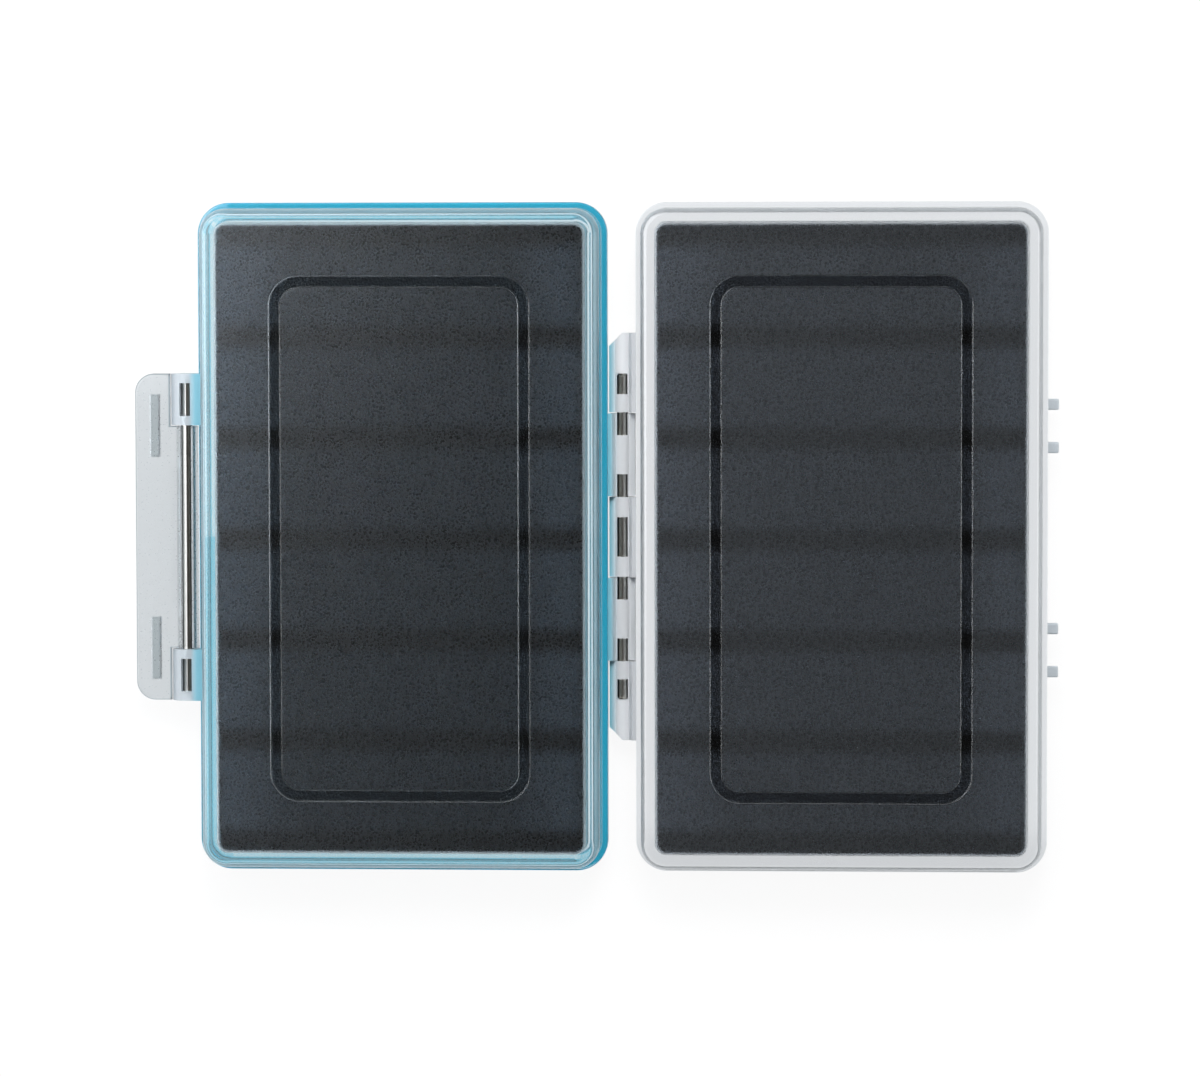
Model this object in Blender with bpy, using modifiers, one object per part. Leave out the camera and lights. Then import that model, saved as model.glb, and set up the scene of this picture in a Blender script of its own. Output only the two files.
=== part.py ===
"""A water-resistant battery case, opened flat with the outer faces of both halves up.

The base half lies on the -X side and carries the seal, both steel pins and the latch.
The lid half lies on the +X side and turns about the hinge pin, which runs along Y.
Everything is in metres with +Z up, and the case lies on the plane Z = 0.

The sizes grow from the cells that the case holds. In each half a height is measured from
the parting plane, where the two halves meet when the case is shut, towards the outer face,
and an inset is measured inwards from the edge of the flange.
"""

import math

import bmesh
import bpy

# Cells and foam
CELL_DIAMETER = 0.0145
CELL_LENGTH = 0.0505
CELL_SIDE_CLEARANCE = 0.0001
CELL_END_CLEARANCE = 0.00025
CELL_DEPTH_CLEARANCE = 0.00015
SLOT_COUNT = 6
TIGHT_CORNER = 0.0015
DIVIDER_THICKNESS = 0.0033
SIDE_RAIL = 0.0073
END_RAIL = 0.00365
FOAM_FLOOR_THICKNESS = 0.0015
FOAM_CLEARANCE = 0.0003
FOAM_MEETING_GAP = 0.0002

# Shell halves
WALL_THICKNESS = 0.0025
FACE_THICKNESS = 0.0018
FACE_FILLET = 0.0015
FLANGE_OVERHANG = 0.0011
FLANGE_THICKNESS = 0.00265
FLANGE_CORNER = 0.0056
GROOVE_SIDE_MARGIN = 0.0135
GROOVE_END_MARGIN = 0.01305
GROOVE_WIDTH = 0.002
GROOVE_DEPTH = 0.0005
GROOVE_CORNER = 0.0053

# Seal and lip between the halves
SEAL_WIDTH = 0.0015
SEAL_THICKNESS = 0.0015
SEAL_INSET = 0.00015
SEAL_CORNER_ROUNDING = 0.0004
SEAL_CLEARANCE = 0.0002
LIP_RISE = 0.00235
LIP_THICKNESS = 0.00125
LIP_CLEARANCE = 0.0002

# Hinge between base and lid
HINGE_PIN_RADIUS = 0.001
HINGE_PIN_COVER = 0.00725
PIN_CLEARANCE = 0.00015
PIN_END_CLEARANCE = 0.0003
PIN_END_ROUNDING = 0.0006
BARREL_WALL = 0.0005
KNUCKLE_WALL = 0.0012
SHOULDER_OVERLAP = 0.0001
WEB_STEP = 0.0001
WEB_STEP_ANGLE = 45.0
HINGE_CLEARANCE = 0.0002
KNUCKLE_GAP = 0.0002
LID_MIDDLE_KNUCKLE = 0.0143
BASE_KNUCKLE = 0.0148
LID_OUTER_KNUCKLE = 0.0142
KNUCKLE_CHAMFER = 0.00234
PIN_WINDOW_WIDTH = 0.0019
LID_MIDDLE_BRIDGE = 0.0036
BASE_WINDOW = 0.0039
LID_OUTER_WINDOW = 0.0037

# Latch and the catches it holds
LATCH_PIN_RADIUS = 0.001
LATCH_PIN_SETBACK = 0.00085
LATCH_BARREL_WALL = 0.0009
LATCH_CLEARANCE = 0.0002
LATCH_LENGTH = 0.0587
LATCH_REACH = 0.0092
LATCH_THICKNESS = 0.0022
LATCH_CORNER = 0.0034
LATCH_EDGE_ROUNDING = 0.0005
EAR_WALL = 0.0016
EAR_LENGTH = 0.0092
EAR_BRIDGE = 0.00165
CATCH_PAIR_OFFSET = 0.02
CATCH_SPACING = 0.0077
CATCH_WIDTH = 0.002
CATCH_THICKNESS = 0.0012
CATCH_BITE = 0.00075
CATCH_EDGE_ROUNDING = 0.0003
RECESS_SIDE_CLEARANCE = 0.00035
RECESS_END_CLEARANCE = 0.00075
RECESS_DEPTH_CLEARANCE = 0.00025
RELIEF_LENGTH = 0.0245
RELIEF_WIDTH = 0.0005
RELIEF_DEPTH = 0.0006

# How finely round shapes are drawn, and how far cutters and joined pieces overlap
CORNER_STEPS = 8
ROUND_STEPS = 32
ROUNDING_SEGMENTS = 3
SMALL_ROUNDING_SEGMENTS = 2
OVERSHOOT = 0.0005
FACE_SETBACK = 0.0002
WELD_DISTANCE = 0.000001
FLAT_ANGLE = math.radians(0.5)
SMOOTH_ANGLE = math.radians(35.0)
CRISP_EDGE_ANGLE = math.radians(60.0)

# Foam block, worked out from the cells
SLOT_WIDTH = CELL_DIAMETER + 2.0 * CELL_SIDE_CLEARANCE
SLOT_LENGTH = CELL_LENGTH + 2.0 * CELL_END_CLEARANCE
SLOT_PITCH = SLOT_WIDTH + DIVIDER_THICKNESS
FOAM_WIDTH = SLOT_LENGTH + 2.0 * SIDE_RAIL
FOAM_LENGTH = SLOT_COUNT * SLOT_PITCH - DIVIDER_THICKNESS + 2.0 * END_RAIL
FOAM_FLOOR_HEIGHT = CELL_DIAMETER / 2.0 + CELL_DEPTH_CLEARANCE

# Insets from the flange's edge
CAVITY_INSET = FLANGE_OVERHANG + WALL_THICKNESS
FOAM_INSET = CAVITY_INSET + FOAM_CLEARANCE
LIP_OUTER_INSET = SEAL_INSET + SEAL_WIDTH + SEAL_CLEARANCE
LIP_INNER_INSET = LIP_OUTER_INSET + LIP_THICKNESS
REBATE_INSET = LIP_OUTER_INSET - LIP_CLEARANCE

# Shell outline and heights above the parting plane
FLANGE_WIDTH = FOAM_WIDTH + 2.0 * FOAM_INSET
FLANGE_LENGTH = FOAM_LENGTH + 2.0 * FOAM_INSET
CAVITY_HEIGHT = FOAM_FLOOR_HEIGHT + FOAM_FLOOR_THICKNESS + FOAM_CLEARANCE
SHELL_HEIGHT = CAVITY_HEIGHT + FACE_THICKNESS
RIM_HEIGHT = SEAL_THICKNESS / 2.0 + SEAL_CLEARANCE
FLANGE_HEIGHT = RIM_HEIGHT + FLANGE_THICKNESS
REBATE_HEIGHT = LIP_RISE + LIP_CLEARANCE

# Hinge
HINGE_BORE_RADIUS = HINGE_PIN_RADIUS + PIN_CLEARANCE
BARREL_RADIUS = HINGE_BORE_RADIUS + BARREL_WALL
KNUCKLE_RADIUS = HINGE_BORE_RADIUS + KNUCKLE_WALL
HINGE_REACH = KNUCKLE_RADIUS + HINGE_CLEARANCE
BASE_KNUCKLE_START = LID_MIDDLE_KNUCKLE / 2.0 + KNUCKLE_GAP
BASE_KNUCKLE_END = BASE_KNUCKLE_START + BASE_KNUCKLE
LID_OUTER_START = BASE_KNUCKLE_END + KNUCKLE_GAP
LID_OUTER_END = LID_OUTER_START + LID_OUTER_KNUCKLE
HINGE_PIN_END = LID_OUTER_END - HINGE_PIN_COVER
SHOULDER_HEIGHT = RIM_HEIGHT + SHOULDER_OVERLAP

# Latch
LATCH_BORE_RADIUS = LATCH_PIN_RADIUS + PIN_CLEARANCE
LATCH_BARREL_RADIUS = LATCH_BORE_RADIUS + LATCH_BARREL_WALL
LATCH_PIN_OUTSET = LATCH_BARREL_RADIUS + LATCH_CLEARANCE
LATCH_PIN_HEIGHT = RIM_HEIGHT + LATCH_BARREL_RADIUS
EAR_RADIUS = LATCH_BORE_RADIUS + EAR_WALL
LATCH_NOTCH_REACH = max(EAR_RADIUS, LATCH_BARREL_RADIUS) + LATCH_CLEARANCE
EAR_OUTER_END = LATCH_LENGTH / 2.0
EAR_INNER_END = EAR_OUTER_END - EAR_LENGTH
LATCH_BARREL_LENGTH = 2.0 * (EAR_INNER_END - LATCH_CLEARANCE)
LATCH_PIN_LENGTH = LATCH_LENGTH - 2.0 * LATCH_PIN_SETBACK
CATCH_REACH = LATCH_PIN_OUTSET - LATCH_THICKNESS / 2.0 + CATCH_BITE
CATCH_HEIGHT = FLANGE_HEIGHT - FACE_SETBACK - CATCH_THICKNESS / 2.0
RECESS_DISTANCE = LATCH_PIN_HEIGHT + CATCH_HEIGHT
RECESS_WIDTH = CATCH_THICKNESS + 2.0 * RECESS_SIDE_CLEARANCE
RECESS_LENGTH = CATCH_SPACING + CATCH_WIDTH + 2.0 * RECESS_END_CLEARANCE
RECESS_DEPTH = CATCH_BITE + RECESS_DEPTH_CLEARANCE

# Where the case stands: its lip and knuckles touch Z = 0, and its outline is centred on X = 0
HALF_CENTRE = HINGE_REACH + FLANGE_WIDTH / 2.0
FAR_EDGE = HINGE_REACH + FLANGE_WIDTH
LATCH_PIN_DISTANCE = FAR_EDGE + LATCH_PIN_OUTSET
BASE_SPAN = LATCH_PIN_DISTANCE + LATCH_REACH
LID_SPAN = FAR_EDGE + CATCH_REACH
HINGE_X = (BASE_SPAN - LID_SPAN) / 2.0
PARTING_Z = max(KNUCKLE_RADIUS, LIP_RISE)

# A half's side of the hinge: the base towards -X, the lid towards +X
BASE_SIDE = -1.0
LID_SIDE = 1.0


def clear_scene():
    """Remove whatever the file holds, so that the model stands alone."""
    for scene_object in list(bpy.data.objects):
        bpy.data.objects.remove(scene_object, do_unlink=True)


def new_collection(name):
    """Add an empty collection to the scene."""
    collection = bpy.data.collections.new(name)
    bpy.context.scene.collection.children.link(collection)
    return collection


def make_material(name, colour, roughness, metallic=0.0, alpha=1.0):
    """A plain finish: one colour, how rough it is and whether it is metal."""
    material = bpy.data.materials.new(name)
    material.use_nodes = True
    shader = material.node_tree.nodes["Principled BSDF"]
    shader.inputs["Base Color"].default_value = (*colour, 1.0)
    shader.inputs["Roughness"].default_value = roughness
    shader.inputs["Metallic"].default_value = metallic
    shader.inputs["Alpha"].default_value = alpha
    return material


def rounded_rectangle(width, length, radius):
    """Points round a rectangle centred on the origin, with an arc at each corner."""
    points = []
    for turn, (along_x, along_y) in enumerate(((1, 1), (-1, 1), (-1, -1), (1, -1))):
        centre_x = along_x * (width / 2.0 - radius)
        centre_y = along_y * (length / 2.0 - radius)
        for step in range(CORNER_STEPS + 1):
            angle = math.pi / 2.0 * (turn + step / CORNER_STEPS)
            points.append((centre_x + radius * math.cos(angle), centre_y + radius * math.sin(angle)))
    return points


def rectangle(low_x, high_x, low_y, high_y):
    """The four corners of a plain rectangle."""
    return [(low_x, low_y), (high_x, low_y), (high_x, high_y), (low_x, high_y)]


def arc(radius, start, end):
    """Points on an arc about the origin, from one angle in degrees to another."""
    steps = max(2, round(abs(end - start) / 360.0 * ROUND_STEPS))
    angles = [math.radians(start + (end - start) * step / steps) for step in range(steps + 1)]
    return [(radius * math.cos(angle), radius * math.sin(angle)) for angle in angles]


def mirrored(points, side):
    """The same outline on either side of the hinge."""
    return [(side * across, up) for across, up in points]


def extruded(name, collection, outlines, thickness, centre, along_y=False):
    """A flat outline given a thickness, with inner outlines left open as holes.

    The outline lies in X and Y and is thickened along Z. With along_y it stands in X and Z
    and is thickened along Y.
    """
    curve = bpy.data.curves.new(name, "CURVE")
    curve.dimensions = "2D"
    curve.fill_mode = "BOTH"
    curve.extrude = thickness / 2.0
    for outline in outlines:
        spline = curve.splines.new("POLY")
        spline.points.add(len(outline) - 1)
        spline.use_cyclic_u = True
        for point, (across, along) in zip(spline.points, outline):
            point.co = (across, along, 0.0, 1.0)
    flat = bpy.data.objects.new(name + "_outline", curve)
    collection.objects.link(flat)
    flat.location = centre
    if along_y:
        flat.rotation_euler = (math.pi / 2.0, 0.0, 0.0)
    return as_mesh(name, collection, flat)


def as_mesh(name, collection, flat):
    """Turn a filled curve into a mesh whose caps are welded to its sides."""
    bpy.context.view_layer.update()
    evaluated = flat.evaluated_get(bpy.context.evaluated_depsgraph_get())
    mesh = bpy.data.meshes.new_from_object(evaluated)
    mesh.name = name
    edit = bmesh.new()
    edit.from_mesh(mesh)
    bmesh.ops.remove_doubles(edit, verts=edit.verts[:], dist=WELD_DISTANCE)
    bmesh.ops.dissolve_limit(edit, angle_limit=FLAT_ANGLE, verts=edit.verts[:], edges=edit.edges[:])
    bmesh.ops.recalc_face_normals(edit, faces=edit.faces[:])
    edit.to_mesh(mesh)
    edit.free()
    solid = bpy.data.objects.new(name, mesh)
    collection.objects.link(solid)
    solid.matrix_world = flat.matrix_world.copy()
    bpy.data.objects.remove(flat, do_unlink=True)
    return solid


def rod(name, collection, radius, length, centre):
    """A round bar along Y."""
    along_y = (math.pi / 2.0, 0.0, 0.0)
    bpy.ops.mesh.primitive_cylinder_add(
        vertices=ROUND_STEPS, radius=radius, depth=length, location=centre, rotation=along_y
    )
    bar = bpy.context.active_object
    bar.name = name
    for owner in list(bar.users_collection):
        owner.objects.unlink(bar)
    collection.objects.link(bar)
    return bar


def hide_cutter(cutter):
    """Keep a helper shape out of the render and draw it as wire."""
    cutter.hide_render = True
    cutter.display_type = "WIRE"


def combine(target, helper, operation):
    """Join a helper shape to a piece, or cut it away."""
    modifier = target.modifiers.new(helper.name, "BOOLEAN")
    modifier.operation = operation
    modifier.solver = "EXACT"
    modifier.object = helper
    hide_cutter(helper)


def fuse(target, helper):
    """Join a helper shape to a piece."""
    combine(target, helper, "UNION")


def cut(target, helper):
    """Cut a helper shape away from a piece."""
    combine(target, helper, "DIFFERENCE")


def round_edges(piece, width, segments=ROUNDING_SEGMENTS):
    """Round every crisp edge of a piece."""
    bevel = piece.modifiers.new("edge_rounding", "BEVEL")
    bevel.width = width
    bevel.segments = segments
    bevel.limit_method = "ANGLE"
    bevel.angle_limit = CRISP_EDGE_ANGLE


def round_upper_rim(piece, width):
    """Round only the rim round a slab's upper face, which lies outermost on the case."""
    mesh = piece.data
    edit = bmesh.new()
    edit.from_mesh(mesh)
    weight = edit.edges.layers.float.new("bevel_weight_edge")
    top = max(vertex.co.z for vertex in edit.verts)
    for edge in edit.edges:
        if all(abs(vertex.co.z - top) < WELD_DISTANCE for vertex in edge.verts):
            edge[weight] = 1.0
    edit.to_mesh(mesh)
    edit.free()
    bevel = piece.modifiers.new("rim_rounding", "BEVEL")
    bevel.width = width
    bevel.segments = ROUNDING_SEGMENTS
    bevel.limit_method = "WEIGHT"


def finish(piece, material, parent=None):
    """Give a finished piece its material, smooth its round faces and hang it on its axis."""
    piece.data.materials.clear()
    piece.data.materials.append(material)
    piece.data.shade_smooth()
    piece.data.set_sharp_from_angle(angle=SMOOTH_ANGLE)
    if parent is not None:
        piece.parent = parent
        piece.matrix_parent_inverse = parent.matrix_world.inverted()


def inset_outline(inset):
    """The flange's outline, drawn in by an inset that also tightens its corners."""
    return rounded_rectangle(
        FLANGE_WIDTH - 2.0 * inset, FLANGE_LENGTH - 2.0 * inset, max(FLANGE_CORNER - inset, TIGHT_CORNER)
    )


def half_slab(name, collection, side, outlines, low, high):
    """A slab of one half between two heights above the parting plane."""
    centre = (HINGE_X + side * HALF_CENTRE, 0.0, PARTING_Z + (low + high) / 2.0)
    return extruded(name, collection, outlines, high - low, centre)


def tray(name, parts, cutters, side):
    """The tray of one half before it is hollowed: a body with a flange round its rim."""
    body = half_slab(name, parts, side, [inset_outline(FLANGE_OVERHANG)], RIM_HEIGHT, SHELL_HEIGHT)
    round_upper_rim(body, FACE_FILLET)
    flange = half_slab(name + "_flange", cutters, side, [inset_outline(0.0)], RIM_HEIGHT, FLANGE_HEIGHT)
    fuse(body, flange)
    return body


def hollow(name, cutters, body, side):
    """Cut the hollow that takes the foam."""
    low = -LIP_RISE - OVERSHOOT
    cavity = half_slab(name + "_cavity", cutters, side, [inset_outline(CAVITY_INSET)], low, CAVITY_HEIGHT)
    cut(body, cavity)


def face_groove(name, cutters, body, side):
    """Cut the shallow ring round the middle of the outer face."""
    width = FLANGE_WIDTH - 2.0 * GROOVE_SIDE_MARGIN
    length = FLANGE_LENGTH - 2.0 * GROOVE_END_MARGIN
    outer = rounded_rectangle(width, length, GROOVE_CORNER)
    inner = rounded_rectangle(
        width - 2.0 * GROOVE_WIDTH, length - 2.0 * GROOVE_WIDTH, GROOVE_CORNER - GROOVE_WIDTH
    )
    low = SHELL_HEIGHT - GROOVE_DEPTH
    cut(body, half_slab(name + "_groove", cutters, side, [outer, inner], low, SHELL_HEIGHT + OVERSHOOT))


def knuckle_outline(side):
    """A hinge knuckle's section: a barrel, a shoulder that stops the hinge, and a web to the flange."""
    web_low = RIM_HEIGHT + FACE_SETBACK
    web_high = KNUCKLE_RADIUS
    embedded = HINGE_REACH + FLANGE_OVERHANG + OVERSHOOT
    shoulder = math.degrees(math.asin(SHOULDER_HEIGHT / BARREL_RADIUS))
    web = math.degrees(math.asin(web_low / KNUCKLE_RADIUS))
    outline = [(embedded, web_low), (embedded, web_high), (BARREL_RADIUS + WEB_STEP, web_high)]
    outline += arc(BARREL_RADIUS, WEB_STEP_ANGLE, 180.0 - shoulder)
    outline += [(-KNUCKLE_RADIUS, SHOULDER_HEIGHT)]
    outline += arc(KNUCKLE_RADIUS, 180.0, 360.0 + web)
    return mirrored(outline, side)


def knuckle(name, cutters, side, start, end):
    """One hinge knuckle between two places along the hinge."""
    centre = (HINGE_X, (start + end) / 2.0, PARTING_Z)
    return extruded(name, cutters, [knuckle_outline(side)], end - start, centre, along_y=True)


def pin_window(name, cutters, axis_x, axis_z, radius, start, end):
    """An opening in the outer side of a barrel, through which its pin shows."""
    half_width = PIN_WINDOW_WIDTH / 2.0
    outline = rectangle(-half_width, half_width, 0.0, radius + OVERSHOOT)
    centre = (axis_x, (start + end) / 2.0, axis_z)
    return extruded(name, cutters, [outline], end - start, centre, along_y=True)


def hinge_window(name, cutters, body, start, end):
    """Open one stretch of a hinge knuckle over the pin."""
    cut(body, pin_window(name, cutters, HINGE_X, PARTING_Z, KNUCKLE_RADIUS, start, end))


def hinge_bore(name, cutters, body, length):
    """Bore a half's knuckles for the hinge pin."""
    cut(body, rod(name + "_hinge_bore", cutters, HINGE_BORE_RADIUS, length, (HINGE_X, 0.0, PARTING_Z)))


def lip(name, cutters, body):
    """Raise the lip of the base, which the seal surrounds and the lid closes over."""
    ring = [inset_outline(LIP_OUTER_INSET), inset_outline(LIP_INNER_INSET)]
    fuse(body, half_slab(name + "_lip", cutters, BASE_SIDE, ring, -LIP_RISE, RIM_HEIGHT + OVERSHOOT))


def latch_ear(name, cutters, body, start, end):
    """An ear on the base's far edge that holds one end of the latch pin."""
    web_low = RIM_HEIGHT + FACE_SETBACK - LATCH_PIN_HEIGHT
    embedded = LATCH_PIN_OUTSET + FLANGE_OVERHANG + OVERSHOOT
    low = math.degrees(math.asin(web_low / EAR_RADIUS))
    outline = arc(EAR_RADIUS, 90.0, 360.0 + low) + [(embedded, web_low), (embedded, EAR_RADIUS)]
    centre = (HINGE_X - LATCH_PIN_DISTANCE, (start + end) / 2.0, PARTING_Z + LATCH_PIN_HEIGHT)
    fuse(body, extruded(name, cutters, [outline], end - start, centre, along_y=True))
    cut(body, pin_window(name + "_window", cutters, centre[0], centre[2], EAR_RADIUS,
                         start + EAR_BRIDGE, end - EAR_BRIDGE))


def make_base_shell(parts, cutters, material):
    """The base half: tray, lip, two hinge knuckles and the two ears of the latch."""
    name = "base_shell"
    shell = tray(name, parts, cutters, BASE_SIDE)
    lip(name, cutters, shell)
    for end_name, end in (("upper", 1.0), ("lower", -1.0)):
        low, high = sorted((end * BASE_KNUCKLE_START, end * BASE_KNUCKLE_END))
        fuse(shell, knuckle(f"{name}_{end_name}_knuckle", cutters, BASE_SIDE, low, high))
        low, high = sorted((end * EAR_INNER_END, end * EAR_OUTER_END))
        latch_ear(f"{name}_{end_name}_ear", cutters, shell, low, high)
    hollow(name, cutters, shell, BASE_SIDE)
    face_groove(name, cutters, shell, BASE_SIDE)
    hinge_bore(name, cutters, shell, 2.0 * LID_OUTER_END)
    latch_axis = (HINGE_X - LATCH_PIN_DISTANCE, 0.0, PARTING_Z + LATCH_PIN_HEIGHT)
    bore_length = LATCH_LENGTH + 2.0 * OVERSHOOT
    cut(shell, rod(name + "_latch_bore", cutters, LATCH_BORE_RADIUS, bore_length, latch_axis))
    for end_name, end in (("upper", 1.0), ("lower", -1.0)):
        inner = (end * (BASE_KNUCKLE_START - OVERSHOOT), end * (BASE_KNUCKLE_START + BASE_WINDOW))
        outer = (end * (BASE_KNUCKLE_END - BASE_WINDOW), end * (BASE_KNUCKLE_END + OVERSHOOT))
        hinge_window(f"{name}_{end_name}_inner_window", cutters, shell, *sorted(inner))
        hinge_window(f"{name}_{end_name}_outer_window", cutters, shell, *sorted(outer))
    finish(shell, material)
    return shell


def knuckle_chamfer(name, cutters, shell, end):
    """Take the outer corner off the last knuckle at one end of the hinge."""
    corner_x = -KNUCKLE_RADIUS - OVERSHOOT
    corner_y = end * (LID_OUTER_END + OVERSHOOT)
    reach = KNUCKLE_CHAMFER + 2.0 * OVERSHOOT
    outline = [(corner_x, corner_y), (corner_x + reach, corner_y), (corner_x, corner_y - end * reach)]
    height = 2.0 * (KNUCKLE_RADIUS + OVERSHOOT)
    cut(shell, extruded(name, cutters, [outline], height, (HINGE_X, 0.0, PARTING_Z)))


def catch(name, cutters, shell, along):
    """One catch on the lid's far edge, which a recess of the latch takes in."""
    half_width = CATCH_WIDTH / 2.0
    outline = rectangle(FAR_EDGE - FLANGE_OVERHANG, FAR_EDGE + CATCH_REACH,
                        along - half_width, along + half_width)
    nub = extruded(name, cutters, [outline], CATCH_THICKNESS, (HINGE_X, 0.0, PARTING_Z + CATCH_HEIGHT))
    round_edges(nub, CATCH_EDGE_ROUNDING, SMALL_ROUNDING_SEGMENTS)
    fuse(shell, nub)


def make_lid_shell(parts, cutters, material, axis):
    """The lid half: tray, rebate for the lip, three hinge knuckles and four catches."""
    name = "lid_shell"
    shell = tray(name, parts, cutters, LID_SIDE)
    middle = LID_MIDDLE_KNUCKLE / 2.0
    fuse(shell, knuckle(name + "_middle_knuckle", cutters, LID_SIDE, -middle, middle))
    for end_name, end in (("upper", 1.0), ("lower", -1.0)):
        low, high = sorted((end * LID_OUTER_START, end * LID_OUTER_END))
        fuse(shell, knuckle(f"{name}_{end_name}_knuckle", cutters, LID_SIDE, low, high))
        for place_name, place in (("outer", 0.5), ("inner", -0.5)):
            along = end * (CATCH_PAIR_OFFSET + place * CATCH_SPACING)
            catch(f"{name}_{end_name}_{place_name}_catch", cutters, shell, along)
    hollow(name, cutters, shell, LID_SIDE)
    rebate = half_slab(name + "_rebate", cutters, LID_SIDE, [inset_outline(REBATE_INSET)],
                       -LIP_RISE - OVERSHOOT, REBATE_HEIGHT)
    cut(shell, rebate)
    face_groove(name, cutters, shell, LID_SIDE)
    hinge_bore(name, cutters, shell, 2.0 * (HINGE_PIN_END + PIN_END_CLEARANCE))
    window = middle - LID_MIDDLE_BRIDGE
    hinge_window(name + "_middle_window", cutters, shell, -window, window)
    for end_name, end in (("upper", 1.0), ("lower", -1.0)):
        low, high = sorted((end * HINGE_PIN_END, end * (HINGE_PIN_END - LID_OUTER_WINDOW)))
        hinge_window(f"{name}_{end_name}_window", cutters, shell, low, high)
        knuckle_chamfer(f"{name}_{end_name}_chamfer", cutters, shell, end)
    finish(shell, material, axis)
    return shell


def make_seal(parts, material):
    """The seal: a soft ring round the lip of the base, level with the flange's edge."""
    ring = [inset_outline(SEAL_INSET), inset_outline(SEAL_INSET + SEAL_WIDTH)]
    seal = half_slab("rim_seal", parts, BASE_SIDE, ring, -SEAL_THICKNESS / 2.0, SEAL_THICKNESS / 2.0)
    round_edges(seal, SEAL_CORNER_ROUNDING, SMALL_ROUNDING_SEGMENTS)
    finish(seal, material)


def make_foam(name, parts, side, material, parent=None):
    """The foam of one half: a sheet against the face, and a block with a slot for each cell."""
    floor_top = FOAM_FLOOR_HEIGHT + FOAM_FLOOR_THICKNESS
    floor = half_slab(name + "_foam_floor", parts, side, [inset_outline(FOAM_INSET)],
                      FOAM_FLOOR_HEIGHT, floor_top)
    finish(floor, material, parent)
    outlines = [inset_outline(FOAM_INSET)]
    for index in range(SLOT_COUNT):
        along = (index - (SLOT_COUNT - 1) / 2.0) * SLOT_PITCH
        slot = rounded_rectangle(SLOT_LENGTH, SLOT_WIDTH, TIGHT_CORNER)
        outlines.append([(across, up + along) for across, up in slot])
    block_top = FOAM_FLOOR_HEIGHT - FOAM_CLEARANCE
    block = half_slab(name + "_foam_cradle", parts, side, outlines, FOAM_MEETING_GAP, block_top)
    finish(block, material, parent)


def make_pin(name, parts, radius, length, centre, material):
    """A straight steel pin along Y with rounded ends."""
    pin = rod(name, parts, radius, length, centre)
    round_edges(pin, PIN_END_ROUNDING)
    finish(pin, material)


def latch_plate_outline():
    """The latch seen from above: a plate with two round corners and a notch for each ear."""
    half_length = LATCH_LENGTH / 2.0
    half_barrel = LATCH_BARREL_LENGTH / 2.0
    upper = [(-LATCH_BORE_RADIUS, half_barrel), (-LATCH_NOTCH_REACH, half_barrel),
             (-LATCH_NOTCH_REACH, half_length)]
    upper += [(-LATCH_REACH + LATCH_CORNER + across, half_length - LATCH_CORNER + along)
              for across, along in arc(LATCH_CORNER, 90.0, 180.0)]
    lower = [(across, -along) for across, along in reversed(upper)]
    return upper + lower


def make_latch(parts, cutters, material, axis):
    """The latch: a plate, a barrel that clips over the pin, and recesses for the catches."""
    centre = (HINGE_X - LATCH_PIN_DISTANCE, 0.0, PARTING_Z + LATCH_PIN_HEIGHT)
    latch = extruded("latch", parts, [latch_plate_outline()], LATCH_THICKNESS, centre)
    round_edges(latch, LATCH_EDGE_ROUNDING, SMALL_ROUNDING_SEGMENTS)
    fuse(latch, rod("latch_barrel", cutters, LATCH_BARREL_RADIUS, LATCH_BARREL_LENGTH, centre))
    cut(latch, rod("latch_bore", cutters, LATCH_BORE_RADIUS, LATCH_LENGTH, centre))
    cut(latch, pin_window("latch_channel", cutters, centre[0], centre[2], LATCH_BARREL_RADIUS,
                          -LATCH_LENGTH / 2.0, LATCH_LENGTH / 2.0))
    underside = -LATCH_THICKNESS / 2.0
    for end_name, end in (("upper", 1.0), ("lower", -1.0)):
        middle = end * CATCH_PAIR_OFFSET
        outline = rectangle(-RECESS_DISTANCE - RECESS_WIDTH / 2.0, -RECESS_DISTANCE + RECESS_WIDTH / 2.0,
                            middle - RECESS_LENGTH / 2.0, middle + RECESS_LENGTH / 2.0)
        height = centre[2] + underside + (RECESS_DEPTH - OVERSHOOT) / 2.0
        cut(latch, extruded(f"latch_{end_name}_recess", cutters, [outline], RECESS_DEPTH + OVERSHOOT,
                            (centre[0], 0.0, height)))
    outline = rectangle(-LATCH_BARREL_RADIUS - RELIEF_WIDTH, -LATCH_BARREL_RADIUS,
                        -RELIEF_LENGTH / 2.0, RELIEF_LENGTH / 2.0)
    height = centre[2] + underside + (RELIEF_DEPTH - OVERSHOOT) / 2.0
    cut(latch, extruded("latch_relief", cutters, [outline], RELIEF_DEPTH + OVERSHOOT,
                        (centre[0], 0.0, height)))
    finish(latch, material, axis)


def make_axis(name, parts, location):
    """An empty on a joint's axis, which carries the pieces that turn with it."""
    axis = bpy.data.objects.new(name, None)
    parts.objects.link(axis)
    axis.location = location
    bpy.context.view_layer.update()
    return axis


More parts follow.
